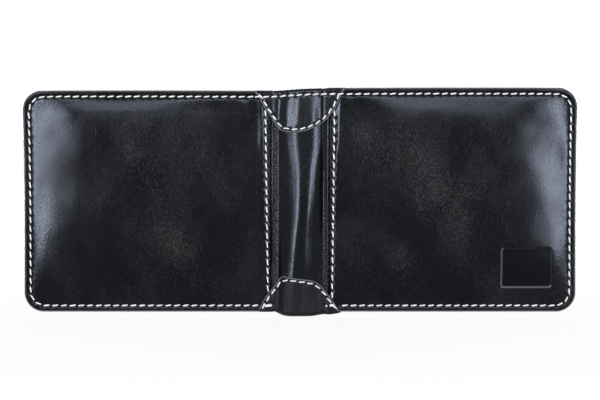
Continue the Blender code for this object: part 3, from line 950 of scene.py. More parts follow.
class Nodes:
    """Adds nodes to a node tree and feeds their inputs."""

    def __init__(self, tree):
        self.tree = tree

    def feed(self, node, inputs):
        for key, value in inputs.items():
            if isinstance(value, bpy.types.NodeSocket):
                self.tree.links.new(value, node.inputs[key])
            else:
                node.inputs[key].default_value = value

    def add(self, kind, inputs=None, **settings):
        node = self.tree.nodes.new(kind)
        for name, value in settings.items():
            setattr(node, name, value)
        self.feed(node, inputs or {})
        return node

    def math(self, operation, first, second=0.0, third=0.0):
        node = self.add("ShaderNodeMath", {0: first, 1: second, 2: third}, operation=operation)
        return node.outputs[0]

    def scaled(self, value, factor, added=None):
        if added is None:
            return self.math("MULTIPLY", value, factor)
        return self.math("MULTIPLY_ADD", value, factor, added)

    def vector(self, operation, first, second):
        node = self.add("ShaderNodeVectorMath", {0: first, 1: second}, operation=operation)
        return node.outputs[0]

    def noise(self, vector, scale, detail=2.0, roughness=0.5, distortion=0.0):
        inputs = {
            "Vector": vector,
            "Scale": scale,
            "Detail": detail,
            "Roughness": roughness,
            "Distortion": distortion,
        }
        return self.add("ShaderNodeTexNoise", inputs).outputs[0]

    def ramp(self, value, low, high, out_low=0.0, out_high=1.0):
        inputs = {"Value": value, 1: low, 2: high, 3: out_low, 4: out_high}
        node = self.add("ShaderNodeMapRange", inputs, interpolation_type="SMOOTHSTEP")
        return node.outputs[0]

    def blend(self, factor, first, second):
        node = self.add("ShaderNodeMix", {0: factor, 6: first, 7: second}, data_type="RGBA")
        return node.outputs[2]

    def stretched(self, vector, scale, turn=(0.0, 0.0, 0.0)):
        inputs = {"Vector": vector, "Rotation": turn, "Scale": scale}
        return self.add("ShaderNodeMapping", inputs).outputs[0]

    def bump(self, height, distance, normal=None):
        inputs = {"Height": height, "Distance": distance, "Strength": 1.0}
        if normal:
            inputs["Normal"] = normal
        return self.add("ShaderNodeBump", inputs).outputs[0]

    def object_place(self):
        return self.add("ShaderNodeTexCoord").outputs["Object"]

    def mark(self, name):
        return self.add("ShaderNodeAttribute", attribute_name=name).outputs["Fac"]

    def seen_straight(self):
        """A share that is 1 for what the camera sees, straight, through glass or mirrored."""
        path = self.add("ShaderNodeLightPath").outputs
        seen = self.math("MAXIMUM", path["Is Camera Ray"], path["Is Transmission Ray"])
        return self.math("MAXIMUM", seen, path["Is Glossy Ray"])

    def mixed_output(self, share, first, second, output):
        inputs = {0: share, 1: first.outputs[0], 2: second.outputs[0]}
        mixed = self.add("ShaderNodeMixShader", inputs)
        self.feed(self.tree.nodes[output], {"Surface": mixed.outputs[0]})


PLACE_AND_SCALE = (("Place", "Vector"), ("Scale", "Float"))


def effect(name, outputs, fill, inputs=PLACE_AND_SCALE):
    """A node group for an effect that several materials share."""
    if name in bpy.data.node_groups:
        return bpy.data.node_groups[name]
    tree = bpy.data.node_groups.new(name, "ShaderNodeTree")
    for title, kind in inputs:
        tree.interface.new_socket(name=title, in_out="INPUT", socket_type=f"NodeSocket{kind}")
    for title in outputs:
        tree.interface.new_socket(name=title, in_out="OUTPUT", socket_type="NodeSocketFloat")
    nodes = Nodes(tree)
    given = nodes.add("NodeGroupInput").outputs
    nodes.add("NodeGroupOutput", fill(nodes, given))
    return tree


def leather_grain():
    """Fine pebbled grain, from 0 in the valleys to 1 on the pebbles, and its specks, painted pale
    as rubbed grain and partly as glints of the grain.
    """

    def fill(nodes, given):
        place, scale = given["Place"], given["Scale"]
        wobble = nodes.add("ShaderNodeTexNoise", {"Vector": place, "Scale": scale})
        wobble = nodes.vector("MULTIPLY", wobble.outputs["Color"], (GRAIN_WOBBLE,) * 3)
        moved = nodes.vector("ADD", place, wobble)
        cells = nodes.add("ShaderNodeTexVoronoi", {"Vector": moved, "Scale": scale}, feature="F1")
        fine_scale = nodes.scaled(scale, FINE_SHARE)
        fine = nodes.noise(place, fine_scale, detail=3.0, roughness=0.65)
        pebbles = nodes.ramp(cells.outputs["Distance"], *PEBBLE_RAMP, 1.0, 0.0)
        height = nodes.scaled(fine, 0.5, nodes.scaled(pebbles, 0.5))
        slanted = nodes.stretched(place, *SPECK_STRETCH)
        speck_scale = nodes.scaled(scale, SPECK_SHARE)
        specks = nodes.noise(slanted, speck_scale, roughness=0.75, distortion=0.4)
        return {"Height": height, "Specks": nodes.ramp(specks, *SPECK_RAMP)}

    return effect("Leather grain", ("Height", "Specks"), fill)


def wax_mottle():
    """Cloudy patches where the wax lies thicker or has been rubbed away."""

    def fill(nodes, given):
        slanted = nodes.stretched(given["Place"], *CLOUD_STRETCH)
        cloud = nodes.noise(slanted, given["Scale"], detail=5.0, roughness=0.55, distortion=0.5)
        return {"Mask": nodes.ramp(cloud, *CLOUD_RAMP)}

    return effect("Wax mottle", ("Mask",), fill)


def scuffs():
    """Short faint scratches in patches, from 0 to 1."""

    def fill(nodes, given):
        total = None
        for turn, offset in SCUFF_TURNS:
            lines = nodes.stretched(given["Place"], SCUFF_STRETCH, (0.0, turn, 0.0))
            shifted = nodes.vector("ADD", lines, (offset, offset, 0.0))
            value = nodes.noise(shifted, given["Scale"], roughness=0.55)
            lined = nodes.ramp(value, *SCUFF_RAMP)
            total = lined if total is None else nodes.math("MAXIMUM", total, lined)
        patchy_scale = nodes.scaled(given["Scale"], SCUFF_PATCH_SHARE)
        patchy = nodes.noise(given["Place"], patchy_scale, detail=3.0)
        return {"Mask": nodes.scaled(total, nodes.ramp(patchy, *SCUFF_PATCH_RAMP))}

    return effect("Scuffs", ("Mask",), fill)


def rubbed_edge_and_highlight():
    """Wear and painted highlight from 0 to 1: a pale line along an edge, from its rim mark, which
    is worn edge paint and partly a painted highlight on the rounded edge, and specks where worn.
    """

    def fill(nodes, given):
        specks = nodes.noise(given["Place"], WEAR_SCALE, roughness=0.75)
        specks = nodes.ramp(specks, *WEAR_RAMP)
        broken = nodes.scaled(specks, *WEAR_BREAKS)
        # The pale line along the rim: worn edge paint, and partly a painted highlight of the
        # rounded edge
        line = nodes.scaled(nodes.ramp(given["Rim"], *RIM_RAMP), broken)
        strip = nodes.scaled(given["Worn"], specks)
        return {"Mask": nodes.math("MAXIMUM", line, strip)}

    inputs = (("Place", "Vector"), ("Rim", "Float"), ("Worn", "Float"))
    return effect("Rubbed edge", ("Mask",), fill, inputs)


def principled(name, inputs):
    """A new material with a Principled shader."""
    made = bpy.data.materials.new(name)
    made.use_nodes = True
    nodes = Nodes(made.node_tree)
    shader = made.node_tree.nodes["Principled BSDF"]
    nodes.feed(shader, inputs)
    return made, nodes, shader


def rgba(colour, factor=1.0):
    return (*(channel * factor for channel in colour), 1.0)


def leather(name):
    """Waxed black leather, as the table of leathers describes it."""
    if name in bpy.data.materials:
        return bpy.data.materials[name]
    setting, roughness, specular, grain_scale, grain_depth, clouds, streaks = LEATHERS[name]
    colour = getattr(bpy.context.scene.wallet_finish, setting)
    inputs = {
        "Roughness": roughness, "Specular IOR Level": specular, "Specular Tint": SHINE_TINT
    }
    made, nodes, shader = principled(name, inputs)
    place, bed, patch = nodes.object_place(), nodes.mark("bed"), nodes.mark("rubbed")
    grain, mottle, scratch, worn = (
        nodes.add("ShaderNodeGroup", {"Place": place, **inputs}, node_tree=part)
        for part, inputs in (
            (leather_grain(), {"Scale": grain_scale}),
            (wax_mottle(), {"Scale": MOTTLE_SCALE}),
            (scuffs(), {"Scale": SCUFF_SCALE}),
            (rubbed_edge_and_highlight(), {"Rim": nodes.mark("rim"), "Worn": nodes.mark("worn")}),
        )
    )
    cloud, scuff, edge = (node.outputs["Mask"] for node in (mottle, scratch, worn))
    cloud = nodes.scaled(cloud, nodes.scaled(patch, *CLOUD_GAIN))
    body = nodes.blend(cloud, rgba(colour, clouds[0]), rgba(colour, clouds[1]))
    dusty = nodes.blend(nodes.scaled(scuff, SCUFF_SHOWN), body, rgba(DUST))
    # Pale specks: rubbed grain, and partly painted glints of the grain
    shown = nodes.scaled(patch, SPECKS_IN_RUBS, nodes.scaled(cloud, *SPECKS_IN_CLOUDS))
    specks = nodes.scaled(grain.outputs["Specks"], shown)
    speckled = nodes.blend(specks, dusty, rgba(SPECK_AND_GLINT))
    # Painted shade: the colour in the recessed bed of the plaque is darkened
    bed_shade_painted = nodes.blend(bed, speckled, rgba(colour, BED_PAINTED_SHADE))
    # Painted highlight: a pale line along the plaque's walls, strongest on those that face the
    # lamps, joined to the worn edges
    edge = nodes.math("MAXIMUM", edge, nodes.mark("lip"))
    # The pale edge colour: worn edge paint, partly a painted highlight along the rims, and the
    # painted highlight on the plaque's walls
    edged_and_highlighted = nodes.blend(nodes.scaled(edge, EDGE_AND_HIGHLIGHT_SHOWN), bed_shade_painted, rgba(WORN_AND_HIGHLIGHT))
    dull = roughness - CLOUD_DULLS / 2
    for mask, dulls in ((cloud, CLOUD_DULLS), (scuff, SCUFF_DULLS), (edge, EDGE_DULLS)):
        dull = nodes.scaled(mask, dulls, dull)
    height = nodes.scaled(grain.outputs["Height"], nodes.math("SUBTRACT", 1.0, bed))
    normal = nodes.bump(height, grain_depth)
    if streaks:
        upright = nodes.stretched(place, STREAK_STRETCH)
        streaky = nodes.noise(upright, STREAK_SCALE, detail=3.0, roughness=0.6)
        normal = nodes.bump(streaky, streaks, normal)
    nodes.feed(shader, {"Base Color": edged_and_highlighted, "Roughness": dull, "Normal": normal})
    return made


def lining_cloth():
    """Dark woven lining with a fine twill."""
    name, colour = "Lining twill", bpy.context.scene.wallet_finish.lining_colour
    if name in bpy.data.materials:
        return bpy.data.materials[name]
    inputs = {"Roughness": 0.85, "Sheen Weight": 0.3, "Sheen Roughness": 0.5}
    made, nodes, shader = principled(name, inputs)
    place = nodes.object_place()
    parts = nodes.add("ShaderNodeSeparateXYZ", {"Vector": place}).outputs
    threads = 2 * math.pi / LINING_THREAD
    warp = nodes.math("SINE", nodes.scaled(parts["X"], threads))
    diagonal = nodes.math("ADD", parts["X"], parts["Z"])
    twill = nodes.math("SINE", nodes.scaled(diagonal, threads / 2))
    weave = nodes.scaled(twill, TWILL_SHARE, nodes.scaled(warp, WARP_SHARE, 0.5))
    fluff = nodes.noise(place, FLUFF_SCALE, detail=3.0, roughness=0.7)
    shade = nodes.scaled(fluff, 0.5, nodes.scaled(weave, 0.5))
    dark, pale = LINING_SHADES
    tone = nodes.blend(shade, rgba(colour, dark), rgba(colour, pale))
    nodes.feed(shader, {"Base Color": tone, "Normal": nodes.bump(shade, LINING_RELIEF)})
    return made


def waxed_thread():
    """Off-white twisted thread."""
    name, colour = "Waxed thread", bpy.context.scene.wallet_finish.thread_colour
    if name in bpy.data.materials:
        return bpy.data.materials[name]
    made, nodes, shader = principled(name, {"Roughness": 0.6})
    place = nodes.add("ShaderNodeUVMap", uv_map="thread").outputs["UV"]
    parts = nodes.add("ShaderNodeSeparateXYZ", {"Vector": place}).outputs
    along, around = (nodes.scaled(parts[axis], turns) for axis, turns in PLY_TURNS.items())
    twist = nodes.math("ADD", along, around)
    ply = nodes.math("SINE", nodes.scaled(twist, 2 * math.pi))
    ply = nodes.scaled(ply, 0.5, 0.5)
    fibre = nodes.noise(nodes.object_place(), FIBRE_SCALE, roughness=0.6)
    soil = nodes.ramp(nodes.noise(nodes.object_place(), SOIL_SCALE), *SOIL_RAMP)
    height = nodes.scaled(fibre, 1 - PLY_SHARE, nodes.scaled(ply, PLY_SHARE))
    tone = nodes.blend(ply, rgba(colour, PLY_SHADE), rgba(colour))
    tone = nodes.blend(nodes.scaled(soil, SOIL_SHOWN), tone, rgba(colour, SOIL_SHADE))
    nodes.feed(shader, {"Base Color": tone, "Normal": nodes.bump(height, THREAD_RELIEF)})
    return made


# Pieces


def wrinkles(half, across, up):
    """Pulled creases in the cover beside the upper end of the spine seam."""
    out = 0.0
    for gap, flare, low, high, width, height in WRINKLES[half.name]:
        centre = half.spine_seam(up) + gap + flare * (1 - rise(half.height - up, WRINKLE_FLARE))
        centre += ripple(across, up, *WRINKLE_WANDER, gap / MM)
        length = smooth((up - low) / WRINKLE_FADES[0]) * smooth((high - up) / WRINKLE_FADES[1])
        uneven = 1 + ripple(gap, up, *WRINKLE_UNEVENNESS)
        out += height * uneven * hump(across - centre, width) * length
    return out


def rubbed(half, across, up):
    """How strongly the cover is rubbed at a place, from 0 to 1."""
    total = 0.0
    for middle_across, middle_up, length, width, strength in RUBS[half.name]:
        aside, above = across - middle_across * MM, up - middle_up * MM
        lean = RUB_LEAN * half.side
        along = above * math.cos(lean) - aside * math.sin(lean)
        beside = aside * math.cos(lean) + above * math.sin(lean)
        total += strength * hump(along, length * MM) * hump(beside, width * MM)
    return clamp(total)


def cover_outside(half):
    """Depth of a cover's outer face, with its padding, seam grooves, wrinkles and plaque."""
    shape = bpy.context.scene.wallet_shape

    def depth(across, up):
        inset = half.from_edge(across, up)
        from_seam = min(inset - SEAM_INSET, across - half.spine_seam(up))
        out = COVER_REACH + half.swell(across, up)
        out += shape.padding * smooth((from_seam - PADDING_START) / PADDING_RUN)
        out += BEAD_HEIGHT * hump(inset - BEAD_INSET, BEAD_WIDTH)
        for away in (inset - SEAM_INSET, across - half.spine_seam(up)):
            out -= shape.seam_depth * hump(away, GROOVE_WIDTH)
        calm = smooth((inset - SEAM_INSET) / CALM_RUN)
        for wave in COVER_WAVES:
            out += ripple(half.side * (FOLD_X + across), FOOT_DROP + up, *wave) * calm
        out += wrinkles(half, across, up) * smooth(from_seam / WRINKLE_CLEAR)
        if half.name == "front":
            out -= shape.plaque_depth * plaque_bed(across, up)
        return -out

    return depth


def spine_path(half):
    """The seam beside the spine, from the edge of the top patch down to that of the foot patch."""
    high = top_arc(half.side * (FOLD_X + SPINE_SEAM_TOP), PATCH_MARGIN) - FOOT_DROP
    low = foot_arc(half.side * (FOLD_X + SPINE_SEAM_BOTTOM), PATCH_MARGIN) - FOOT_DROP
    return [(half.spine_seam(up), up) for up in (high, low)]


def make_cover(half):
    right = HALF_LENGTH - PLAQUE_FROM_END
    creased = spread(*WRINKLE_BAND, WRINKLE_STEP)
    extra = (creased, ())
    if half.name == "front":
        extra = (
            creased + plaque_lines(right - PLAQUE_WIDTH, right),
            plaque_lines(PLAQUE_FROM_BOTTOM, PLAQUE_FROM_BOTTOM + PLAQUE_HEIGHT),
        )
    panel = Panel(
        half, COVER_START, 0.0, half.height, 0.0, COVER_INSETS, COVER_STEP, CORNER_RADIUS, extra
    )
    outside = cover_outside(half)

    def inside(across, up):
        return -(COVER_REACH + half.swell(across, up)) + COVER_THICKNESS

    marks = {"rubbed": lambda across, up: rubbed(half, across, up)}
    if half.name == "front":
        # The plaque's bed, whose colour is painted darker as shade, and its lip, painted with a
        # highlight
        marks.update(bed=plaque_bed, lip=plaque_lip_highlight)
    body = panel.build(outside, inside, COVER_EDGES, marks=marks)
    rows = sew(half, rim_path(half), outside, -1) + sew(half, spine_path(half), outside, -1)
    dimple(body, holes_of(rows), bpy.context.scene.wallet_shape.pucker_depth, DIMPLE_WIDTH)
    finish = leather("Cover leather")
    cover = object_from(f"{half.name}_cover_leather", body, finish)
    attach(cover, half.body)
    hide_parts(f"{half.name}_cover")


def make_cover_stitches(half):
    outside = cover_outside(half)
    for seam, path in (("rim", rim_path), ("spine_seam", spine_path)):
        rows = sew(half, path(half), outside, -1)
        stitches = make_stitches(f"{half.name}_{seam}_stitches", rows)
        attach(stitches, half.body)
        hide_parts(f"{half.name}_{seam}_thread")


def make_spine_leather(half):
    """Half of the rolled spine leather, from the middle of the roll to its margin under a cover."""
    reach = FOLD_X + MARGIN_END
    places = [0.0, SEAM_SLIVER] + spread(PATCH_STEP, reach, PATCH_STEP)
    clear = PATCH_THICKNESS + PATCH_LIFT

    def edges(x):
        inside = smooth((abs(x) - FOLD_X + TURN_FADE) / TURN_FADE)
        low = foot(x) + clear + inside * (FOOT_DROP + INSET - foot(x) - clear)
        return low, crest(x) - clear

    def place(column, row, level):
        x = half.side * places[column]
        low, high = edges(x)
        z = low + (high - low) * row / SPINE_ROWS
        beyond = abs(x) - FOLD_X
        out = roll(x, z) if beyond < 0 else half.swell(beyond, z - FOOT_DROP)
        out += ripple(4 * x, z, *SPINE_WAVES) * smooth(-beyond / CALM_RUN)
        fall = round_off(min(z - low, high - z), SPINE_ROUNDING)
        depth = -out + SPINE_THICKNESS - fall if level else -out + fall
        return Vector((x, DATUM + depth, z))

    def flange(column, row):
        """Marks the flat strip beside the roll, where the grain is rubbed pale."""
        x = places[column]
        strip = smooth((x - ROLL_EDGES[half.side]) / FLANGE_FADE)
        strip *= smooth((FLANGE_END - x) / FLANGE_FADE)
        lower = smooth((FLANGE_WEAR_TOP - row / SPINE_ROWS) / FLANGE_WEAR_RUN)
        wear, added = FLANGE_WEAR[half.name]
        return strip * (wear + added * lower)

    body = slab(len(places) - 1, SPINE_ROWS, place, marks={"worn": flange})
    finish = leather("Spine leather")
    piece = object_from(f"{half.name}_spine_leather", body, finish)
    bend_with(piece, half, SPINE_BEND)
    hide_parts("spine_leather", f"{half.name}_spine_margin")


def patch_out(x, z):
    """How far the outer face of a patch stands out."""
    return bridged(x, z) + PATCH_LIFT + PATCH_THICKNESS


class Patch:
    """One side of a half-moon patch that turns round the edge of the spine."""

    middle_rows = 22
    turn_rows = 8
    leg_rows = 6

    def __init__(self, half, sign):
        self.half = half
        self.sign = sign
        self.turn_half_width = TOP_TURN_HALF_WIDTH if sign > 0 else FOOT_HALF_WIDTH
        self.width = (TOP_ARC_HALF_WIDTH if sign > 0 else FOOT_ARC_HALF_WIDTH) + PATCH_MARGIN
        inner = spread(PATCH_STEP, self.turn_half_width, PATCH_STEP)
        outer = spread(self.turn_half_width, self.width, PATCH_STEP)[1:]
        self.places = [0.0, SEAM_SLIVER] + inner + outer
        self.turn_column = len(inner) + 1
        self.face_rows = len(PATCH_INSETS) + self.middle_rows
        self.rows = self.face_rows + self.turn_rows + self.leg_rows

    def arc(self, x, margin=PATCH_MARGIN):
        return top_arc(x, margin) if self.sign > 0 else foot_arc(x, margin)

    def fold(self, x):
        return crest(x) if self.sign > 0 else foot(x)

    def inner_depth(self, x):
        if self.sign > 0:
            return -roll(x, crest(x) - PATCH_LIP) + SPINE_THICKNESS + PATCH_LIFT + PATCH_THICKNESS
        return FOOT_DEPTH

    def from_edge(self, x, z):
        """How far a place lies from the patch's arc, square to it."""
        stretch = slope_length(self.arc, x)
        return self.sign * (z - self.arc(x)) / stretch

    def face_depth(self, x, z):
        """Depth of the patch's outer face, with its seam groove."""
        groove = PATCH_GROOVE_SHARE * bpy.context.scene.wallet_shape.seam_depth
        inset = self.from_edge(x, z)
        out = patch_out(x, z)
        out += ripple(3 * x, z, *PATCH_WAVES)
        out -= groove * hump(inset - PATCH_MARGIN, PATCH_GROOVE_WIDTH)
        if self.sign > 0:
            out -= groove * hump(crest(x) - z - SEAM_INSET, PATCH_GROOVE_WIDTH)
        return -out + round_off(max(inset, 0), PATCH_ROUNDING)

    def face_reach(self, x, row, span):
        """How far a row of the face lies from the patch's arc."""
        last = len(PATCH_INSETS) - 1
        stretch = slope_length(self.arc, x)
        inset = min(row, last)
        away = min(PATCH_INSETS[inset] * stretch, span * (inset + 1) / self.face_rows)
        share = max(row - last, 0) / (self.face_rows - last)
        return away + (span - away) * share

    def place(self, column, row, level):
        x = self.half.side * self.places[column]
        fold, arc_edge = self.fold(x), self.arc(x)
        beyond = smooth((abs(x) - self.turn_half_width) / TURN_FADE)
        outer = self.face_depth(x, fold - self.sign * PATCH_FOLD_CLEAR)
        full = (self.inner_depth(x) - outer) / 2
        thin = PATCH_THICKNESS / 2
        across_radius = full + (thin - full) * beyond
        along_radius = min(full, PATCH_FOLD_RADIUS)
        along_radius += (thin - along_radius) * beyond
        turn_start = fold - self.sign * along_radius
        if row <= self.face_rows:
            span = abs(turn_start - arc_edge)
            away = self.face_reach(x, row, span)
            z = arc_edge + self.sign * away
            blend = smooth(1 - (span - away) / PATCH_FOLD_CLEAR)
            depth = self.face_depth(x, z) * (1 - blend) + outer * blend
            if level:
                depth += PATCH_THICKNESS * PATCH_SKIN_SHARE
                depth = max(depth, -patch_out(x, z) + PATCH_THICKNESS)
            return Vector((x, DATUM + depth, z))
        if row <= self.face_rows + self.turn_rows:
            angle = math.pi * (row - self.face_rows) / self.turn_rows
            skin = PATCH_THICKNESS if level else 0.0
            depth = outer + skin + max(across_radius - skin, 0) * (1 - math.cos(angle))
            away = max(along_radius - skin, 0) * math.sin(angle)
            return Vector((x, DATUM + depth, turn_start + self.sign * away))
        share = (row - self.face_rows - self.turn_rows) / self.leg_rows
        leg_end = fold - self.sign * PATCH_LIP if self.sign > 0 else FOOT_LIP
        depth = outer + 2 * across_radius
        if level:
            depth -= PATCH_THICKNESS
        return Vector((x, DATUM + depth, turn_start + (leg_end - turn_start) * share))

    def keep(self, column, row):
        return column < self.turn_column or row < self.face_rows + self.turn_rows / 2

    def rim(self, column, row):
        away = self.from_edge(self.half.side * self.places[column], self.place(column, row, 0).z)
        return 1 - clamp(away / PATCH_RIM_WEAR_AND_HIGHLIGHT)


def seam_line(knots, arc):
    places = spread(knots[0][0] * MM, knots[-1][0] * MM, PATCH_SEAM_STEP)
    return [(x, arc(x)) for x in places]


def patch_seams():
    """The seams on both patches, as paths of x and z: arcs, top seam and backstitches."""
    arc_line = [(x, z) for x, z in seam_line(TOP_SEAM, top_arc) if z < crest(x) - TOP_SEAM_CLEAR]
    ends = (arc_line[0][0] - TOP_SEAM_LAP, arc_line[-1][0] + TOP_SEAM_LAP)
    top_line = [(x, crest(x) - SEAM_INSET) for x in spread(*ends, 1 * MM)]
    tails = [
        [(x, FOOT_DROP + SEAM_INSET + lift) for x in ends]
        for ends in BACKSTITCHES
        for lift in BACKSTITCH_LIFTS
    ]
    return {"top": [arc_line, top_line], "bottom": [seam_line(FOOT_SEAM, foot_arc), *tails]}


def patch_stitch_rows(name, patch):
    stitches = bpy.context.scene.wallet_stitches
    rows = []
    for path in patch_seams()[name]:
        for ends in stitch_ends(walk(path, stitches.pitch), stitches.slant):
            if (sum(end[0] for end in ends) < 0) == (patch.half.side < 0):
                places = (Vector((x, DATUM + patch.face_depth(x, z), z)) for x, z in ends)
                rows.append((*places, Vector((0, -1, 0))))
    return rows


def make_patch(name, half):
    patch = Patch(half, 1 if name == "top" else -1)
    body = slab(len(patch.places) - 1, patch.rows, patch.place, patch.keep, {"rim": patch.rim})
    rows = patch_stitch_rows(name, patch)
    depth = bpy.context.scene.wallet_shape.pucker_depth
    dimple(body, holes_of(rows), depth, PATCH_DIMPLE_WIDTH)
    finish = leather(f"{name.capitalize()} patch leather")
    piece = object_from(f"{half.name}_{name}_patch", body, finish)
    bend_with(piece, half, PATCH_BEND)
    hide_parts(f"{name}_patch")
    stitches = make_stitches(f"{half.name}_{name}_patch_stitches", rows)
    bend_with(stitches, half, PATCH_BEND)
    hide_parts(f"{name}_patch_thread")


def layer_face(half, depth, seed):
    """A flat layer's depth, with the slight waviness of soft leather."""

    def face(across, up):
        x, z = half.side * (FOLD_X + across), FOOT_DROP + up
        calm = smooth(half.from_edge(across, up) / LAYER_CALM_RUN)
        return depth + ripple(x, z, *LAYER_WAVES, seed) * calm

    return face


def inside_face(half, across, up):
    """Depth of the innermost layer that lies over a place, seen from the pockets."""
    first = half.height - FIRST_MOUTH_DROP
    slips = BACKING_DEPTH + SLIP_PITCH
    if across > POCKET_START:
        if up < first - 2 * MOUTH_PITCH:
            return slips + 2 * SLIP_PITCH + POCKET_THICKNESS
        if up < first - MOUTH_PITCH:
            return slips + SLIP_PITCH + CARD_THICKNESS
        if up < first:
            return slips + CARD_THICKNESS
        if up < half.height - BACKING_DROP:
            return BACKING_DEPTH + CARD_THICKNESS
    if up < half.height - WALL_DROP and across > WALL_START:
        return WALL_DEPTH + WALL_THICKNESS
    return LINING_THICKNESS - half.swell(across, up)


def inside_rows(half):
    """The stitches seen inside: those of the rim, and the upright seam beside the pockets."""

    def face(across, up):
        return inside_face(half, across, up)

    across = POCKET_START + POCKET_SEAM
    high = half.height - BACKING_DROP - POCKET_SEAM_CLEAR
    low = SEAM_INSET + POCKET_SEAM_CLEAR
    upright = [(across, high), (across, low)]
    return sew(half, rim_path(half), face, 1), sew(half, upright, face, 1)


def make_lining(half):
    panel = Panel(
        half, LINING_START, INSET, half.height - INSET, INSET,
        LAYER_INSETS, LAYER_STEP, CORNER_RADIUS - INSET,
    )
    body = panel.build(
        lambda across, up: -half.swell(across, up),
        lambda across, up: LINING_THICKNESS - half.swell(across, up),
        LINING_EDGES,
    )
    lining = object_from(f"{half.name}_lining_cloth", body, lining_cloth())
    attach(lining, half.body)
    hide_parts(f"{half.name}_lining")


def make_layer(half, name, start, low, high, depth, thickness, top_radius, seed, band=0.0):
    """A flat layer of a half. A slip has a band of the given height above a narrower tongue."""
    face = layer_face(half, depth, seed)
    tongue = (start + TONGUE_INSET, HALF_LENGTH - INSET - TONGUE_INSET)
    insets = LAYER_INSETS[2:] if band else LAYER_INSETS
    extra = (tongue, (high - band,)) if band else ((), ())
    panel = Panel(half, start, low, high, INSET, insets, LAYER_STEP, top_radius, extra)
    if band:
        panel.radii = (TONGUE_CORNER, top_radius)

    def inner(across, up):
        below, crease_depth, width = MOUTH_CREASE
        return face(across, up) + thickness - crease_depth * hump(high - up - below, width)

    def keep(across, up):
        return up > high - band or tongue[0] < across < tongue[1]

    body = panel.build(face, inner, LAYER_EDGES, keep if band else None)
    rim, upright = inside_rows(half)
    top = DATUM + depth + thickness
    holes = [hole for hole in holes_of(rim + upright) if abs(hole.y - top) < HOLE_TOLERANCE]
    dimple(body, holes, LAYER_DIMPLE_DEPTH, DIMPLE_WIDTH, -1)
    finish = leather("Pocket leather")
    layer = object_from(f"{half.name}_{name}_leather", body, finish)
    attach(layer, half.body)
    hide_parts(f"{half.name}_{name}")


def make_pockets(half):
    top = half.height - BACKING_DROP
    first = half.height - FIRST_MOUTH_DROP
    slip_depth = BACKING_DEPTH + SLIP_PITCH
    make_layer(
        half, "card_backing", POCKET_START, INSET, top,
        BACKING_DEPTH, CARD_THICKNESS, BACKING_CORNER, seed=2.0,
    )
    for index in range(2):
        mouth, depth = first - index * MOUTH_PITCH, slip_depth + index * SLIP_PITCH
        make_layer(
            half, f"card_slip_{index + 1}", POCKET_START, mouth - CARD_DEPTH, mouth,
            depth, CARD_THICKNESS, MOUTH_CORNER, seed=3.0 + index, band=BAND_HEIGHT,
        )
    make_layer(
        half, "card_pocket", POCKET_START, INSET, first - 2 * MOUTH_PITCH,
        slip_depth + 2 * SLIP_PITCH, POCKET_THICKNESS, MOUTH_CORNER, seed=6.0,
    )


def make_inner_wall(half):
    top = half.height - WALL_DROP
    make_layer(
        half, "inner_wall", WALL_START, INSET, top,
        WALL_DEPTH, WALL_THICKNESS, WALL_CORNER, seed=1.0,
    )


def make_inner_stitches(half):
    """The inside of the rim seam, and the upright seam beside the pockets."""
    rim, upright = inside_rows(half)
    inner = make_stitches(f"{half.name}_rim_inner_stitches", rim)
    beside = make_stitches(f"{half.name}_pocket_stitches", upright)
    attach(inner, half.body)
    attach(beside, half.body)
    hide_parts(f"{half.name}_pocket_thread")


def make_centre_strip(half):
    """Half of the soft strip that joins the inner walls across the spine."""
    low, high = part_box("centre_strip")
    outer, inner, first = STRIP_INSETS
    places = [0.0, SEAM_SLIVER] + spread(STRIP_STEP, high.x - inner, STRIP_STEP)
    places += [high.x - outer, high.x]
    heights = [low.z, low.z + outer, low.z + inner]
    heights += spread(low.z + first, high.z - first, STRIP_ROW_STEP)
    heights += [high.z - inner, high.z - outer, high.z]

    def place(column, row, level):
        x, z = half.side * places[column], heights[row]
        inset = min(high.x - abs(x), z - low.z, high.z - z)
        fall = round_off(inset, STRIP_ROUNDING)
        soft = ripple(x, z, *STRIP_WAVES) * smooth(1 - abs(x) / STRIP_SOFT_REACH)
        depth = low.y + soft + (STRIP_THICKNESS - fall if level else fall)
        return Vector((x, depth, z))

    body = slab(len(places) - 1, len(heights) - 1, place)
    finish = leather("Pocket leather")
    strip = object_from(f"{half.name}_centre_strip", body, finish)
    bend_with(strip, half, STRIP_BEND)
    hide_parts("centre_strip")


# Settings


def length(name, description, default, low=0.0):
    return bpy.props.FloatProperty(
        name=name, description=description, default=default, min=low, unit="LENGTH"
    )


def colour(name, description, default):
    return bpy.props.FloatVectorProperty(
        name=name, description=description, default=default, min=0, max=1, subtype="COLOR"
    )


class WalletShape(bpy.types.PropertyGroup):
    """Sizes of the leather's relief."""

    padding: length("Padding", "How far the panels stand up inside their seams", 0.04 * MM)
    seam_depth: length("Seam depth", "How deep the thread draws the leather in", 0.1 * MM)
    pucker_depth: length("Pucker depth", "How deep each hole draws the leather in", 0.36 * MM)
    plaque_depth: length("Plaque depth", "How deep the bare plaque is pressed in", 0.55 * MM)


class WalletStitches(bpy.types.PropertyGroup):
    """Sizes of the stitches."""

    pitch: length("Pitch", "Distance from hole to hole", 3.7 * MM, 1 * MM)
    gap: length("Gap", "Leather left bare between two stitches", 0.75 * MM)
    width: length("Width", "Width of the thread", 0.62 * MM, 0.1 * MM)
    slant: length("Slant", "How far a stitch's ends lie off the seam's line", 0.2 * MM, -1 * MM)


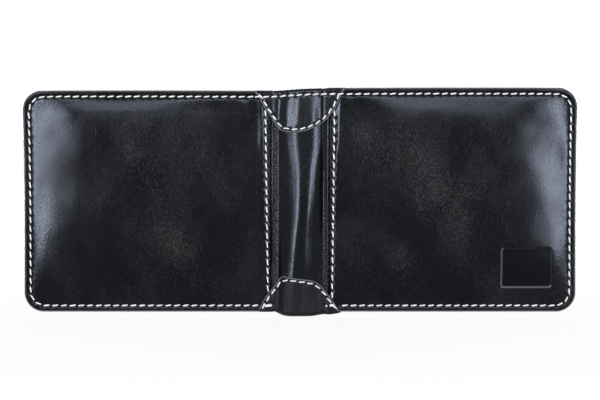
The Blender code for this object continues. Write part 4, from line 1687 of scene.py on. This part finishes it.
class WalletFinish(bpy.types.PropertyGroup):
    """Colours of the wallet."""

    cover_colour: colour("Cover leather", "Colour of the covers", (0.0028, 0.0027, 0.0028))
    spine_colour: colour("Spine leather", "Colour of spine and patches", (0.0026, 0.0026, 0.003))
    pocket_colour: colour("Pocket leather", "Colour of the pockets", (0.006, 0.0057, 0.0057))
    lining_colour: colour("Lining", "Colour of the lining cloth", (0.045, 0.045, 0.048))
    thread_colour: colour("Thread", "Colour of the waxed thread", (0.71, 0.71, 0.71))


class WalletStage(bpy.types.PropertyGroup):
    """The camera's distance and the light of the side softboxes."""

    camera_distance: length("Camera distance", "From camera to wallet", 712 * MM, 100 * MM)
    softbox_power: bpy.props.FloatProperty(
        name="Softbox power", description="Power of each of the side softboxes",
        default=5.8, min=0, unit="POWER",
    )


class BuildOperator:
    """What the operators share: each builds its pieces for both halves."""

    bl_options = {"REGISTER", "UNDO"}
    makers = ()

    def execute(self, _context):
        for maker in type(self).makers:
            for half in HALVES.values():
                maker(half)
        return {"FINISHED"}


class WALLET_OT_covers(BuildOperator, bpy.types.Operator):
    """Build the two padded covers."""

    bl_idname = "wallet.covers"
    bl_label = "Covers"
    makers = (make_cover,)


class WALLET_OT_cover_stitches(BuildOperator, bpy.types.Operator):
    """Sew the rims and the seams beside the spine."""

    bl_idname = "wallet.cover_stitches"
    bl_label = "Cover Stitches"
    makers = (make_cover_stitches,)


class WALLET_OT_spine(BuildOperator, bpy.types.Operator):
    """Build the rolled spine leather."""

    bl_idname = "wallet.spine"
    bl_label = "Spine Leather"
    makers = (make_spine_leather,)


class WALLET_OT_patches(BuildOperator, bpy.types.Operator):
    """Build and sew the half-moon patches at the two ends of the spine."""

    bl_idname = "wallet.patches"
    bl_label = "Patches"
    makers = (lambda half: make_patch("top", half), lambda half: make_patch("bottom", half))


class WALLET_OT_lining(BuildOperator, bpy.types.Operator):
    """Line the bill compartment and build its inner wall."""

    bl_idname = "wallet.lining"
    bl_label = "Lining and Inner Wall"
    makers = (make_lining, make_inner_wall, make_centre_strip)


class WALLET_OT_pockets(BuildOperator, bpy.types.Operator):
    """Build the card pockets."""

    bl_idname = "wallet.pockets"
    bl_label = "Card Pockets"
    makers = (make_pockets,)


class WALLET_OT_inner_stitches(BuildOperator, bpy.types.Operator):
    """Sew the pockets and the inside of the rims."""

    bl_idname = "wallet.inner_stitches"
    bl_label = "Inner Stitches"
    makers = (make_inner_stitches,)


def aim(item, target):
    item.rotation_euler = (Vector(target) - item.location).to_track_quat("-Z", "Y").to_euler()


def add_softbox(name, place, target, size, power, lean=0.0):
    light = bpy.data.lights.new(name, "AREA")
    light.shape = "RECTANGLE"
    light.size, light.size_y = size
    light.energy = power
    item = show(name, light)
    item.location = place
    aim(item, target)
    item.rotation_euler.rotate_axis("Z", lean)


def add_lights(middle, power):
    """Upright softboxes at the sides and long ones above, both before and behind the wallet."""
    target = (0, 0, middle)
    for name, degrees in SOFTBOXES.items():
        angle = math.radians(degrees)
        across, back = SOFTBOX_DISTANCE * math.sin(angle), -SOFTBOX_DISTANCE * math.cos(angle)
        lean = math.copysign(SOFTBOX_LEAN, math.tan(angle))
        place = (across, back, middle + SOFTBOX_LIFT)
        add_softbox(f"{name}_softbox", place, target, SOFTBOX_SIZE, power, lean)
    for name, side in TOP_BOXES.items():
        place = (0, side * TOP_BOX_DISTANCE, middle + TOP_BOX_LIFT)
        add_softbox(f"{name}_softbox", place, target, TOP_BOX_SIZE, power * TOP_BOX_SHARE)


class WALLET_OT_stage(bpy.types.Operator):
    """Set the floor, the studio lights and the camera."""

    bl_idname = "wallet.stage"
    bl_label = "Stage"
    bl_options = {"REGISTER", "UNDO"}

    def execute(self, context):
        stage = context.scene.wallet_stage
        low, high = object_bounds()
        middle = (high.z + low.z) / 2 + CAMERA_LIFT
        make_floor()
        make_world(context.scene)
        add_lights(middle, stage.softbox_power)
        camera = bpy.data.cameras.new("camera")
        camera.lens = CAMERA_LENS
        camera.sensor_width = CAMERA_SENSOR
        item = show("camera", camera)
        item.location = (0, DATUM - COVER_REACH - stage.camera_distance, middle)
        aim(item, (0, 0, middle))
        context.scene.camera = item
        context.scene.view_settings.view_transform = "Standard"
        return {"FINISHED"}


def make_floor():
    """A pale round floor that shows as white with a faint shadow."""
    body = bmesh.new()
    bmesh.ops.create_circle(body, cap_ends=True, segments=FLOOR_SIDES, radius=FLOOR_RADIUS)
    inputs = {"Roughness": 0.9, "Base Color": FLOOR_COLOUR}
    made, nodes, shader = principled("Pale floor", inputs)
    glow = nodes.add("ShaderNodeEmission", WHITE)
    away = nodes.add("ShaderNodeVectorMath", {0: nodes.object_place()}, operation="LENGTH")
    faded = nodes.ramp(away.outputs["Value"], *FLOOR_FADE)
    share = nodes.scaled(nodes.seen_straight(), faded)
    nodes.mixed_output(share, shader, glow, "Material Output")
    floor = show("floor", mesh_from("floor", body, made))
    floor.location.z = -FLOOR_DROP
    floor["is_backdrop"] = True


def make_world(scene):
    """White where the camera sees it, and a dim studio for everything else."""
    world = bpy.data.worlds.new("studio")
    world.use_nodes = True
    nodes = Nodes(world.node_tree)
    ground = world.node_tree.nodes["Background"]
    nodes.feed(ground, {"Color": SKY, "Strength": SKY_STRENGTH})
    white = nodes.add("ShaderNodeBackground", WHITE)
    nodes.mixed_output(nodes.seen_straight(), ground, white, "World Output")
    scene.world = world


OPERATORS = (
    WALLET_OT_covers,
    WALLET_OT_cover_stitches,
    WALLET_OT_spine,
    WALLET_OT_patches,
    WALLET_OT_lining,
    WALLET_OT_pockets,
    WALLET_OT_inner_stitches,
    WALLET_OT_stage,
)
SETTINGS = {
    "wallet_shape": WalletShape,
    "wallet_stitches": WalletStitches,
    "wallet_finish": WalletFinish,
    "wallet_stage": WalletStage,
}


class WALLET_PT_builder(bpy.types.Panel):
    """The wallet's settings and the buttons that build it."""

    bl_idname = "WALLET_PT_builder"
    bl_label = "Bifold Wallet"
    bl_space_type = "VIEW_3D"
    bl_region_type = "UI"
    bl_category = "Wallet"

    def draw(self, context):
        for name, group in SETTINGS.items():
            box = self.layout.box()
            for field in group.__annotations__:
                box.prop(getattr(context.scene, name), field)
        for operator in OPERATORS:
            self.layout.operator(operator.bl_idname)


CLASSES = (*SETTINGS.values(), *OPERATORS, WALLET_PT_builder)


def register():
    for kind in CLASSES:
        bpy.utils.register_class(kind)
    for name, group in SETTINGS.items():
        setattr(bpy.types.Scene, name, bpy.props.PointerProperty(type=group))


def unregister():
    for name in SETTINGS:
        delattr(bpy.types.Scene, name)
    for kind in reversed(CLASSES):
        bpy.utils.unregister_class(kind)


def main():
    cad_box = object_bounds()
    register()
    bpy.ops.wallet.covers()
    bpy.ops.wallet.cover_stitches()
    bpy.ops.wallet.spine()
    bpy.ops.wallet.patches()
    bpy.ops.wallet.lining()
    bpy.ops.wallet.pockets()
    bpy.ops.wallet.inner_stitches()
    bpy.ops.wallet.stage()
    boxes = {"cad": cad_box, "visual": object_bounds()}
    sizes = {name: [list(corner) for corner in box] for name, box in boxes.items()}


if __name__ == "__main__":
    main()
